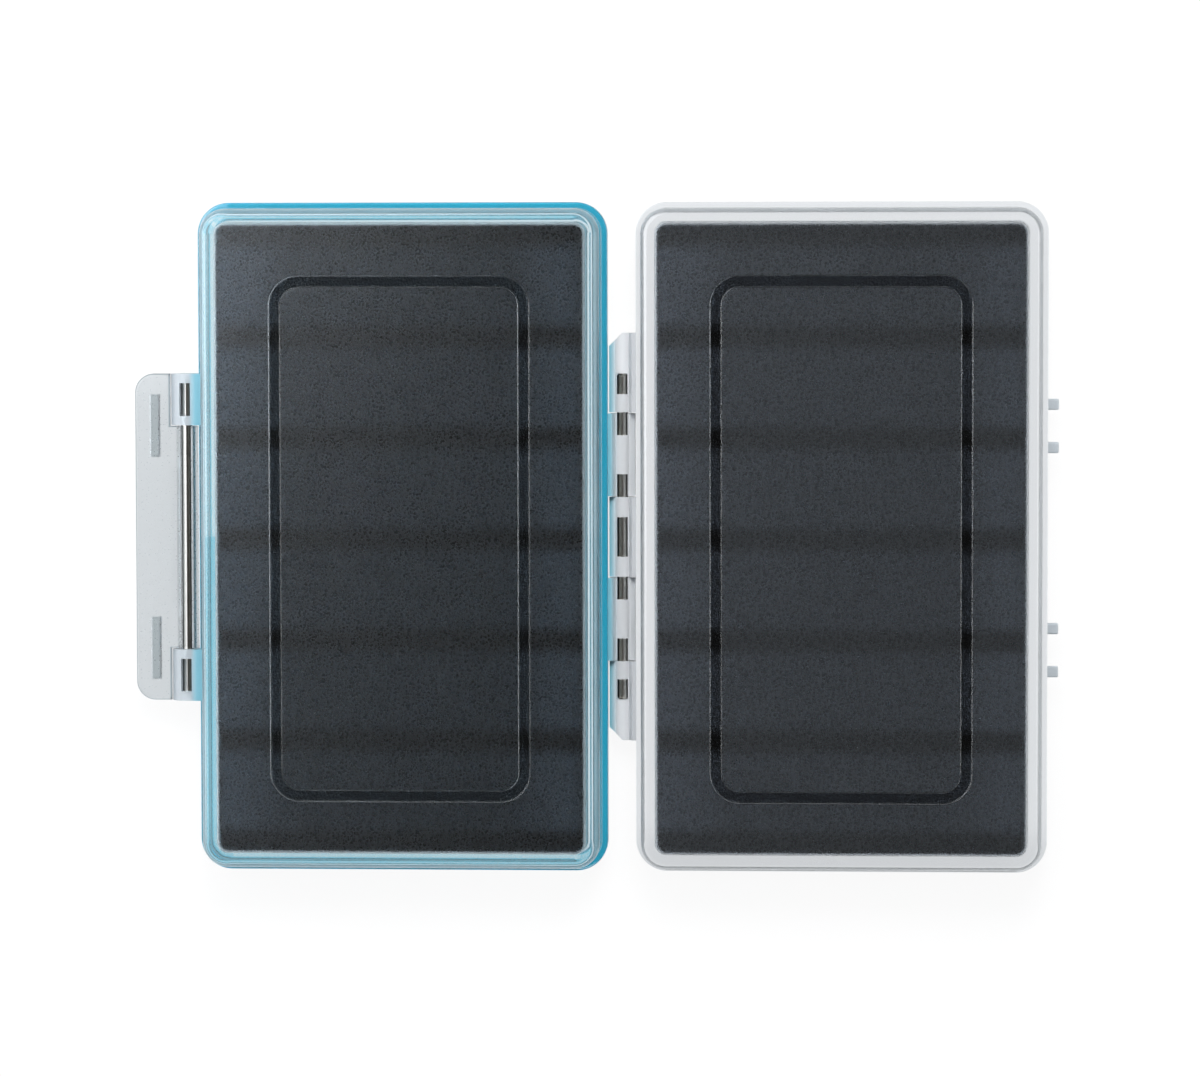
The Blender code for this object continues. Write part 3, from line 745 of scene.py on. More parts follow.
@dataclass
class CaseHalf:
    """One moulded half of the case: a tray with a flange and hinge knuckles."""

    sizes: CaseSizes
    side: Side
    plastics: list[bpy.types.Material]
    knuckle_spans: list[tuple[float, float]]
    window_spans: list[tuple[float, float]]
    bore_half_length: float
    knuckle_radius: float = 2.35
    barrel_radius: float = 1.65
    bore_radius: float = 1.15
    window_half_width: float = 0.95
    web_gap: float = 0.2
    stop_gap: float = 0.1
    shoulder: float = 0.1
    barrel_start: float = 45.0

    @property
    def centre_x(self) -> float:
        """Where the middle of this half lies along X."""
        return self.sizes.hinge_x + self.side.value * (self.sizes.hinge_reach + self.sizes.half_width)

    @property
    def hinge_axis(self) -> tuple[float, float]:
        """Where the hinge axis lies in X and Z."""
        return (self.sizes.hinge_x, self.sizes.parting_z)

    def rings(self, inset: np.ndarray, height: np.ndarray) -> np.ndarray:
        """Rings that follow the flange's outline, drawn in by an inset.

        Args:
            inset: How far each ring is drawn in. It tightens the ring's corners too.
            height: Each ring's height above the parting plane.

        Returns:
            An array of rings by points by three.
        """
        size = self.sizes
        radius = np.maximum(size.corner - inset, size.tight_corner)
        flat = rounded_rectangles(size.half_width - inset, size.half_length - inset, radius)
        return self.standing(flat, height)

    def standing(self, flat: np.ndarray, height: np.ndarray) -> np.ndarray:
        """Lift flat rings to their heights over this half's middle."""
        level = np.broadcast_to(height[:, None, None] + self.sizes.parting_z, (*flat.shape[:2], 1))
        return np.concatenate((flat + (self.centre_x, 0.0), level), axis=-1)

    def groove_rings(self) -> np.ndarray:
        """The shallow ring in the outer face, from its inner edge out to its outer edge.

        Returns:
            An array of rings by points by three.
        """
        size = self.sizes
        top, floor = size.shell_height, size.shell_height - size.groove_depth
        edge = size.groove_rounding
        line = rounded_line([(size.groove_width + size.groove_margin, top, 0.0),
                             (size.groove_width, top, edge), (size.groove_width, floor, edge),
                             (0.0, floor, edge), (0.0, top, edge), (-size.groove_margin, top, 0.0)])
        inset = line[:, 0]
        flat = rounded_rectangles(size.groove_half_width - inset, size.groove_half_length - inset,
                                  size.groove_corner - inset)
        return self.standing(flat, line[:, 1])

    def wall_line(self) -> np.ndarray:
        """The tray's section from the outer face round the rim to the cavity's ceiling.

        Returns:
            The section's points, each an inset and a height.
        """
        size = self.sizes
        outside = [(size.frost_inset, size.shell_height, 0.0),
                   (size.flange_overhang, size.shell_height, size.fillet),
                   (size.flange_overhang, size.flange_height, size.flange_rounding),
                   (0.0, size.flange_height, size.flange_rounding),
                   (0.0, size.rim_height, size.rim_rounding)]
        inside = [(size.cavity_inset, size.cavity_height, size.cavity_fillet),
                  (size.ceiling_inset, size.cavity_height, 0.0)]
        return rounded_line(outside + self.rim_corners() + inside)

    def rim_corners(self) -> list[tuple[float, float, float]]:
        """The corners of the rim's underside, from the flange's edge to the cavity's wall."""
        raise NotImplementedError

    def tray(self) -> Surface:
        """The tray without knuckles: groove, outer face, walls, rim and cavity in one skin.

        Returns:
            The closed surface.
        """
        groove = self.groove_rings()
        line = self.wall_line()
        rings = np.concatenate((groove, self.rings(line[:, 0], line[:, 1])))
        coats = np.full(len(rings), Coat.SATIN.value)
        coats[:len(groove)] = Coat.POLISHED.value
        coats[0] = Coat.FROSTED.value
        coats[len(groove) - 2:len(groove)] = Coat.FROSTED.value
        height = rings[:-1, 0, 2] - self.sizes.parting_z
        upright = np.abs(line[:-1, 0]) < TINY
        # The flange's upright edge takes a painted outline: grey shade on the lid, the seal's cyan glow on
        # the base.
        coats[len(groove):-1][upright & (line[:-1, 1] <= self.sizes.flange_height)] = Coat.EDGE.value
        # Below the rim the base's lip takes the seal's blue as painted light.
        coats[:-1][height < self.sizes.rim_height - TINY] = Coat.PAINTED_SEAL_LIGHT.value
        # The last two roundings bound the cavity's wall. The ceiling after them stays clear.
        coats[-2 * ARC_STEPS - 2:-2] = Coat.CAVITY.value
        return loft(rings, coats)

    def knuckle_outline(self) -> np.ndarray:
        """A knuckle's section about the hinge axis: barrel, stopping shoulder and web.

        Returns:
            The section's points, one a row.
        """
        web_low = self.sizes.rim_height + self.web_gap
        embedded = self.sizes.hinge_reach + self.sizes.flange_overhang + OVERSHOOT
        stop_height = self.sizes.rim_height + self.stop_gap
        stop = math.degrees(math.asin(stop_height / self.barrel_radius))
        web = math.degrees(math.asin(web_low / self.knuckle_radius))
        outline = np.vstack(([(embedded, web_low), (embedded, self.knuckle_radius),
                              (self.barrel_radius + self.shoulder, self.knuckle_radius)],
                             arc(self.barrel_radius, self.barrel_start, 180.0 - stop),
                             [(-self.knuckle_radius, stop_height)],
                             arc(self.knuckle_radius, 180.0, 360.0 + web)))
        return outline * (self.side.value, 1.0)

    def hinge_window(self, low: float, high: float) -> Surface:
        """An opening in the outer side of a knuckle, through which the pin shows.

        Args:
            low: Where the opening starts along Y.
            high: Where it ends.

        Returns:
            The closed surface that is cut away.
        """
        half = self.window_half_width
        outline = box_outline(-half, half, 0.0, self.knuckle_radius + OVERSHOOT)
        return prism(outline, low, high, self.hinge_axis, Coat.MILKY)

    def with_hinge(self, piece: bpy.types.Object) -> None:
        """Add the knuckles to a tray, bore them for the pin and open their windows.

        Args:
            piece: The tray.
        """
        for low, high in self.knuckle_spans:
            knuckle = prism(self.knuckle_outline(), low, high, self.hinge_axis, Coat.MILKY)
            shaped(piece, knuckle, Joining.FUSE)
        bore = turned_bar(self.bore_radius, self.bore_half_length, SHARP, self.hinge_axis, Coat.POLISHED)
        shaped(piece, bore, Joining.CUT)
        for low, high in self.window_spans:
            shaped(piece, self.hinge_window(low, high), Joining.CUT)


@dataclass
class BaseHalf(CaseHalf):
    """The base half: it has the lip that the seal goes round, and two ears for the latch pin."""

    lip_inset: float = 1.85
    lip_thickness: float = 1.25
    lip_drop: float = 2.35
    lip_rounding: float = 0.3
    root_rounding: float = 0.12
    latch_axis: tuple[float, float] = (-73.425, 5.35)
    ear_radius: float = 2.75
    ear_start: float = 20.15
    ear_end: float = 29.35
    ear_bridge: float = 1.65

    def rim_corners(self) -> list[tuple[float, float, float]]:
        """The rim's underside with the lip standing down from it.

        Returns:
            Inset, height and radius of each corner, for rounded_line.
        """
        rim, inner = self.sizes.rim_height, self.lip_inset + self.lip_thickness
        edge, root = self.lip_rounding, self.root_rounding
        return [(self.lip_inset, rim, root), (self.lip_inset, -self.lip_drop, edge),
                (inner, -self.lip_drop, edge), (inner, rim, root), (self.sizes.cavity_inset, rim, root)]

    def ear_outline(self) -> np.ndarray:
        """An ear's section about the latch axis: a round end with a block back to the flange.

        Returns:
            The section's points, one a row.
        """
        foot = self.sizes.parting_z + self.sizes.rim_height + self.web_gap - self.latch_axis[1]
        edge = self.centre_x - self.sizes.half_width
        embedded = edge - self.latch_axis[0] + self.sizes.flange_overhang + OVERSHOOT
        low = math.degrees(math.asin(foot / self.ear_radius))
        return np.vstack((arc(self.ear_radius, 90.0, 360.0 + low),
                          [(embedded, foot), (embedded, self.ear_radius)]))

    def build(self) -> bpy.types.Object:
        """Build and place the base shell.

        Returns:
            The finished piece.
        """
        shell = to_object("base_shell_moulding", self.tray(), self.plastics)
        for low, high in at_both_ends(self.ear_start, self.ear_end):
            ear = prism(self.ear_outline(), low, high, self.latch_axis, Coat.BLASTED)
            shaped(shell, ear, Joining.FUSE)
        self.with_hinge(shell)
        bore = turned_bar(self.bore_radius, self.ear_end + OVERSHOOT, SHARP, self.latch_axis, Coat.POLISHED)
        shaped(shell, bore, Joining.CUT)
        half = self.window_half_width
        outline = box_outline(-half, half, 0.0, self.ear_radius + OVERSHOOT)
        for low, high in at_both_ends(self.ear_start + self.ear_bridge, self.ear_end - self.ear_bridge):
            shaped(shell, prism(outline, low, high, self.latch_axis, Coat.BLASTED), Joining.CUT)
        smoothed(shell)
        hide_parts("base_shell")
        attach(shell, "base")
        report(shell, "frosted half with lip, knuckles and latch ears")
        return shell


@dataclass
class LidHalf(CaseHalf):
    """The lid half: it has the rebate for the lip, and four catches for the latch."""

    rebate_inset: float = 1.65
    rebate_height: float = 2.55
    rebate_rounding: float = 0.15
    mouth_rounding: float = 0.2
    catch_offset: float = 20.0
    catch_spacing: float = 7.7
    catch_reach: float = 1.9
    catch_half_width: float = 1.0
    catch_half_thickness: float = 0.6
    catch_height: float = 2.8
    catch_rounding: float = 0.3
    catch_flat: float = 0.05
    chamfer: float = 2.34
    hinge_end: float = 36.55

    def rim_corners(self) -> list[tuple[float, float, float]]:
        """The rim's underside with a step up for the base's lip.

        Returns:
            Inset, height and radius of each corner, for rounded_line.
        """
        rim, cavity = self.sizes.rim_height, self.sizes.cavity_inset
        return [(self.rebate_inset, rim, self.mouth_rounding),
                (self.rebate_inset, self.rebate_height, self.rebate_rounding),
                (cavity, self.rebate_height, self.mouth_rounding)]

    def catch(self, along: float) -> Surface:
        """One catch, lofted out of the flange along X and rounded at its end.

        Each ring is a rounded rectangle in Y and Z, drawn in by the end rounding's own arc.

        Args:
            along: Where the catch's middle lies along Y.

        Returns:
            The closed surface.
        """
        edge = self.centre_x + self.sizes.half_width
        rounding = self.catch_rounding
        line = rounded_line([(0.0, -self.sizes.flange_overhang, 0.0), (0.0, self.catch_reach, rounding),
                             (self.catch_half_thickness - self.catch_flat, self.catch_reach, 0.0)])
        line = line[line[:, 0] <= rounding]
        inset = line[:, 0]
        flat = rounded_rectangles(self.catch_half_width - inset, self.catch_half_thickness - inset,
                                  rounding + self.catch_flat - inset, ARC_STEPS)
        rings = np.empty((*flat.shape[:2], 3))
        rings[:, :, 0] = edge + line[:, 1:]
        rings[:, :, 1] = along + flat[:, :, 0]
        rings[:, :, 2] = self.sizes.parting_z + self.catch_height + flat[:, :, 1]
        return loft(rings, np.full(len(rings), Coat.BLASTED.value))

    def chamfer_wedge(self, end: float) -> Surface:
        """What comes off the outer corner of the last knuckle at one end of the hinge.

        The wedge is a flat triangle seen from above, standing over the knuckle's whole height.

        Args:
            end: 1 for the upper end of the hinge and -1 for the lower end.

        Returns:
            The closed surface.
        """
        corner_x = self.sizes.hinge_x - self.knuckle_radius - OVERSHOOT
        corner_y = end * (self.hinge_end + OVERSHOOT)
        reach = self.chamfer + 2.0 * OVERSHOOT
        outline = np.array([(corner_x, corner_y), (corner_x + reach, corner_y),
                            (corner_x, corner_y - end * reach)])
        level = np.array([-2.0 * OVERSHOOT, 2.0 * (self.knuckle_radius + OVERSHOOT)])
        rings = np.empty((2, 3, 3))
        rings[:, :, :2] = outline
        rings[:, :, 2] = level[:, None]
        return loft(rings, np.full(2, Coat.MILKY.value))

    def build(self) -> bpy.types.Object:
        """Build and place the lid shell.

        Returns:
            The finished piece.
        """
        shell = to_object("lid_shell_moulding", self.tray(), self.plastics)
        for end in (1.0, -1.0):
            for place in (0.5, -0.5):
                nub = self.catch(end * (self.catch_offset + place * self.catch_spacing))
                shaped(shell, nub, Joining.FUSE)
        self.with_hinge(shell)
        for end in (1.0, -1.0):
            shaped(shell, self.chamfer_wedge(end), Joining.CUT)
        smoothed(shell)
        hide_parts("lid_shell")
        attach(shell, "lid")
        report(shell, "frosted half with rebate, knuckles and catches")
        return shell


# Soft pieces


@dataclass
class RimSeal:
    """The blue ring that lies round the lip of the base."""

    half: BaseHalf
    material: bpy.types.Material
    inset: float = 0.15
    width: float = 1.5
    half_thickness: float = 0.75
    rounding: float = 0.45

    def build(self) -> bpy.types.Object:
        """Carry the seal's rounded square section round the rim.

        Returns:
            The finished piece.
        """
        inner, top = self.inset + self.width, self.half_thickness
        middle = self.inset + self.width / 2.0
        line = rounded_line([(middle, top, 0.0), (inner, top, self.rounding), (inner, -top, self.rounding),
                             (self.inset, -top, self.rounding), (self.inset, top, self.rounding),
                             (middle - TINY, top, 0.0)])
        rings = self.half.rings(line[:, 0], line[:, 1])
        seal = to_object("silicone_seal", loft(rings, np.zeros(len(rings), int), closed=True),
                         [self.material])
        seal.data.shade_smooth()
        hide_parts("rim_seal")
        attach(seal, "base")
        report(seal, "seal round the lip")
        return seal


@dataclass
class FoamSheet:
    """The foam sheet of one half, which swells between the dividers behind it."""

    half: CaseHalf
    body: str
    material: bpy.types.Material
    low: float = 7.4
    high: float = 8.9
    edge_rounding: float = 0.5
    pitch: float = CELL_PITCH
    valley: float = 0.45
    pinch: float = 0.4
    valley_half_width: float = 2.2
    rows: int = 150
    columns: int = 41
    end_crowding: float = 0.35
    squareness: float = 40.0

    def swell(self, along: np.ndarray) -> np.ndarray:
        """How full the sheet is at a place along Y: 0 at a divider and 1 between two.

        It is the square root of 1 - exp(-(d / w)^2), where d is the distance to the nearest divider and
        w the half-width of the valley.

        Args:
            along: Places along Y.

        Returns:
            The fullness at each place.
        """
        distance = np.abs((along + self.pitch / 2.0) % self.pitch - self.pitch / 2.0)
        return np.sqrt(1.0 - np.exp(-(distance / self.valley_half_width) ** 2))

    def build(self) -> bpy.types.Object:
        """Build the sheet as one skin, wrapped round from its middle to its edges.

        The sheet's section across X is a slab whose half-width and top follow the swell, and whose width
        narrows round the four corners as a quarter circle does. At a share s of the half-width its top
        stands at the square root of 1 - |s|^squareness. The rows crowd towards both ends.

        Returns:
            The finished piece.
        """
        size = self.half.sizes
        half_x, half_y = size.half_width - size.foam_inset, size.half_length - size.foam_inset
        corner = size.corner - size.foam_inset
        share = np.linspace(-1.0, 1.0, self.rows)
        reach = half_y - 2.0 * TINY
        along = (reach * np.sin(share * np.pi / 2.0) * self.end_crowding
                 + reach * share * (1.0 - self.end_crowding))
        swell = self.swell(along)
        into_corner = np.clip(np.abs(along) - (half_y - corner), 0.0, corner)
        width = half_x - corner + np.sqrt(corner ** 2 - into_corner ** 2) - self.pinch * (1.0 - swell)
        end_round = np.clip((np.abs(along) - (half_y - self.edge_rounding)) / self.edge_rounding, 0.0, 1.0)
        fullness = np.sqrt(1.0 - end_round ** 2)
        middle = (self.low + self.high) / 2.0
        top = (self.high - middle - self.valley * (1.0 - swell)) * fullness
        under = (middle - self.low) * fullness
        across = np.linspace(-1.0, 1.0, self.columns)
        bend = np.sqrt(np.clip(1.0 - np.abs(across) ** self.squareness, 0.0, 1.0))
        row_y = np.repeat(along[:, None], self.columns, 1)
        upper = np.stack((width[:, None] * across, row_y, middle + top[:, None] * bend), axis=-1)
        lower = np.stack((width[:, None] * across[::-1], row_y, middle - under[:, None] * bend[::-1]),
                         axis=-1)
        rings = np.concatenate((upper, lower[:, 1:-1]), axis=1)
        rings += (self.half.centre_x, 0.0, size.parting_z)
        skin = loft(rings, np.zeros(len(rings), int))
        sheet = to_object(self.body + "_foam_sheet", skin, [self.material])
        sheet.data.shade_smooth()
        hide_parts(self.body + "_foam_floor")
        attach(sheet, self.body)
        report(sheet, "foam sheet against the outer face")
        return sheet


@dataclass
class FoamCradle:
    """The foam block of one half, with a slot for each cell."""

    half: CaseHalf
    body: str
    material: bpy.types.Material
    low: float = 0.2
    high: float = 7.1
    slot_half_length: float = 25.5
    slot_half_width: float = 7.35
    slot_corner: float = 1.5
    slots: int = 6
    pitch: float = CELL_PITCH
    rounding: float = 0.55
    border_width: float = 1.2
    mouth_width: float = 1.0
    corner_spread: float = 4.0
    steps: int = 6

    def border(self, inset: np.ndarray, low_y: float, high_y: float, first: bool,
               last: bool) -> np.ndarray:
        """The edge of one slot's share of the block, as rings with as many points as the slot has.

        At the block's own corners the points follow a quarter circle. At a border shared with the next
        slot they run straight to the border's end and on along it.

        Args:
            inset: How far each ring is drawn in from the block's outer faces.
            low_y: The share's lower border along Y.
            high_y: Its upper border.
            first: Whether the lower border is the block's own end.
            last: Whether the upper border is.

        Returns:
            An array of rings by points by two.
        """
        size = self.half.sizes
        half_x = size.half_width - size.foam_inset - inset
        radius = size.corner - size.foam_inset - inset
        quarter = np.linspace(0.0, np.pi / 2.0, self.steps + 1)
        reach = np.linspace(-1.0, 1.0, self.steps + 1)
        top = high_y - inset * last
        bottom = low_y + inset * first
        corners = []
        for turn, (sign_x, own_end) in enumerate(((1, last), (-1, last), (-1, first), (1, first))):
            edge = top if turn < 2 else bottom
            up = 1.0 if turn < 2 else -1.0
            if own_end:
                angle = quarter + turn * np.pi / 2.0
                across = sign_x * (half_x - radius)[:, None] + radius[:, None] * np.cos(angle)
                along = (edge - up * radius)[:, None] + radius[:, None] * np.sin(angle)
            else:
                run = reach if turn % 2 == 0 else -reach
                inwards = np.clip(run, 0.0, 1.0) * self.corner_spread
                downwards = np.clip(-run, 0.0, 1.0) * self.corner_spread
                across = sign_x * (half_x[:, None] - inwards)
                along = edge[:, None] - up * downwards
            corners.append(np.stack((across, along), axis=-1))
        return np.concatenate(corners, axis=1)

    def share_of_block(self, index: int) -> Surface:
        """One slot with the foam round it, as a hoop whose outer wall is left out at shared borders.

        Args:
            index: The slot's place along Y.

        Returns:
            The open surface, which closes when all shares are merged.
        """
        size = self.half.sizes
        centre = (index - (self.slots - 1) / 2.0) * self.pitch
        first, last = index == 0, index == self.slots - 1
        end = size.half_length - size.foam_inset
        low_y = -end if first else centre - self.pitch / 2.0
        high_y = end if last else centre + self.pitch / 2.0
        wall = rounded_line([(self.border_width, self.low, 0.0), (0.0, self.low, self.rounding),
                             (0.0, self.high, self.rounding), (self.border_width, self.high, 0.0)])
        outer = self.border(wall[:, 0], np.full(len(wall), low_y), np.full(len(wall), high_y), first, last)
        mouth = rounded_line([(-self.mouth_width, self.high, 0.0), (0.0, self.high, self.rounding),
                              (0.0, self.low, self.rounding), (-self.mouth_width, self.low, 0.0)])
        slot = rounded_rectangles(self.slot_half_length - mouth[:, 0], self.slot_half_width - mouth[:, 0],
                                  self.slot_corner - mouth[:, 0], self.steps) + (0.0, centre)
        flat = np.concatenate((outer, slot))
        height = np.concatenate((wall[:, 1], mouth[:, 1]))
        rings = self.half.standing(flat, height)
        whole = loft(rings, np.zeros(len(rings), int), closed=True)
        around = flat.shape[1]
        middle_y = (flat + np.roll(flat, -1, axis=1))[:len(wall), :, 1] / 2.0
        shared = np.zeros(middle_y.shape, bool)
        for border, own in ((low_y, first), (high_y, last)):
            if not own:
                shared |= np.abs(middle_y - border) < 0.1 * TINY
        drop = np.zeros(len(rings) * around, bool)
        drop[:(len(wall) - 1) * around] = (shared[:-1] & shared[1:]).ravel()
        faces = np.array(whole.faces)[~drop].tolist()
        return Surface(whole.points, faces, [0] * len(faces))

    def build(self) -> bpy.types.Object:
        """Merge the shares of all slots into one block.

        Returns:
            The finished piece.
        """
        whole = self.share_of_block(0)
        for index in range(1, self.slots):
            whole = whole.joined(self.share_of_block(index))
        block = to_object(self.body + "_foam_block", whole, [self.material])
        smoothed(block)
        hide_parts(self.body + "_foam_cradle")
        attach(block, self.body)
        report(block, "foam block with six slots")
        return block


# Pins and latch


@dataclass
class SteelPin:
    """A straight steel pin along Y with rounded ends."""

    name: str
    node: str
    axis: tuple[float, float]
    half_length: float
    material: bpy.types.Material
    radius: float = 1.0
    end_rounding: float = 0.6

    def build(self) -> bpy.types.Object:
        """Turn the pin.

        Returns:
            The finished piece.
        """
        pin = to_object(self.name, turned_bar(self.radius, self.half_length, self.end_rounding, self.axis),
                        [self.material])
        smoothed(pin)
        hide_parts(self.node)
        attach(pin, "base")
        report(pin, "steel pin")
        return pin


@dataclass
class Latch:
    """The flap that turns on the latch pin and takes in the lid's catches."""

    plastics: list[bpy.types.Material]
    axis: tuple[float, float]
    half_length: float = 29.35
    reach: float = 9.2
    half_thickness: float = 1.1
    corner: float = 3.4
    edge_rounding: float = 0.5
    edge_steps: int = 4
    face_margin: float = 1.2
    barrel_radius: float = 2.05
    barrel_half_length: float = 19.95
    barrel_rounding: float = 0.15
    bore_radius: float = 1.15
    channel_half_width: float = 0.95
    notch_reach: float = 2.95
    recess_distance: float = 5.8
    recess_half_width: float = 0.95
    recess_floor_half_width: float = 0.62
    recess_half_length: float = 5.6
    recess_depth: float = 1.0
    bed_depth: float = 0.03
    recess_offset: float = 20.0
    relief_half_length: float = 12.25
    relief_start: float = 2.05
    relief_width: float = 0.5
    relief_depth: float = 0.6

    def plate_rings(self, inset: np.ndarray, height: np.ndarray) -> np.ndarray:
        """The plate's outline, drawn in by an inset at each height.

        Half of the outline runs from the barrel's end round the ear's notch to the outer corner, which
        is a quarter circle about its own centre. The other half is its mirror image in Y.

        Args:
            inset: How far each ring is drawn in.
            height: Each ring's height from the latch's axis.

        Returns:
            An array of rings by points by three.
        """
        count = len(inset)
        quarter = np.radians(np.linspace(90.0, 180.0, CORNER_STEPS + 1))
        radius = (self.corner - inset)[:, None]
        corner_x = -self.reach + self.corner + radius * np.cos(quarter)
        corner_y = self.half_length - self.corner + radius * np.sin(quarter)
        notch_x = -self.notch_reach - inset[:, None]
        barrel_y = self.barrel_half_length - inset[:, None]
        end_y = self.half_length - inset[:, None]
        near_x = np.full((count, 1), -self.bore_radius)
        half_x = np.hstack((near_x, notch_x, notch_x, corner_x))
        half_y = np.hstack((barrel_y, barrel_y, end_y, corner_y))
        rings = np.empty((count, 2 * half_x.shape[1], 3))
        rings[:, :, 0] = self.axis[0] + np.hstack((half_x, half_x[:, ::-1]))
        rings[:, :, 1] = np.hstack((half_y, -half_y[:, ::-1]))
        rings[:, :, 2] = self.axis[1] + height[:, None]
        return rings

    def plate(self) -> Surface:
        """The plate with its edges rounded above and below.

        Returns:
            The closed surface.
        """
        thick = self.half_thickness
        line = rounded_line([(self.face_margin, thick, 0.0), (0.0, thick, self.edge_rounding),
                             (0.0, -thick, self.edge_rounding), (self.face_margin, -thick, 0.0)])[1:-1]
        rings = self.plate_rings(line[:, 0], line[:, 1])
        coats = np.full(len(rings), Coat.SATIN.value)
        # The plate's rounded rim takes the painted grey outline.
        coats[ARC_STEPS - self.edge_steps:ARC_STEPS + 1 + self.edge_steps] = Coat.EDGE.value
        return loft(rings, coats)

    def build(self) -> bpy.types.Object:
        """Build and place the latch.

        Returns:
            The finished piece.
        """
        latch = to_object("latch_flap", self.plate(), self.plastics)
        floor = -self.half_thickness
        mouth, bed = self.recess_half_width, self.recess_floor_half_width
        below, top = floor - OVERSHOOT, floor + self.recess_depth
        drafted = np.array([(-mouth, below), (mouth, below), (mouth, floor), (bed, top - self.bed_depth),
                            (-bed, top - self.bed_depth), (-mouth, floor)])
        drafted[:, 0] -= self.recess_distance
        # Each recess's bed takes the darker finish, whose grey is painted shade.
        painted_shade_bed = box_outline(-bed - self.recess_distance, bed - self.recess_distance, below, top)
        for low, high in at_both_ends(self.recess_offset - self.recess_half_length,
                                      self.recess_offset + self.recess_half_length):
            shaped(latch, prism(drafted, low, high, self.axis), Joining.CUT)
            shaped(latch, prism(painted_shade_bed, low, high, self.axis, Coat.BLASTED), Joining.CUT)
        relief = box_outline(-self.relief_start - self.relief_width, -self.relief_start, below,
                             floor + self.relief_depth)
        shaped(latch, prism(relief, -self.relief_half_length, self.relief_half_length, self.axis),
               Joining.CUT)
        barrel = turned_bar(self.barrel_radius, self.barrel_half_length, self.barrel_rounding, self.axis)
        shaped(latch, barrel, Joining.FUSE)
        half = self.channel_half_width
        channel = box_outline(-half, half, 0.0, self.barrel_radius + OVERSHOOT)
        shaped(latch, prism(channel, -self.half_length, self.half_length, self.axis, Coat.POLISHED),
               Joining.CUT)
        bore = turned_bar(self.bore_radius, self.half_length, SHARP, self.axis, Coat.POLISHED)
        shaped(latch, bore, Joining.CUT)
        smoothed(latch)
        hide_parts("latch")
        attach(latch, "latch")
        report(latch, "flap with channel and recesses")
        return latch


# Table, light and camera


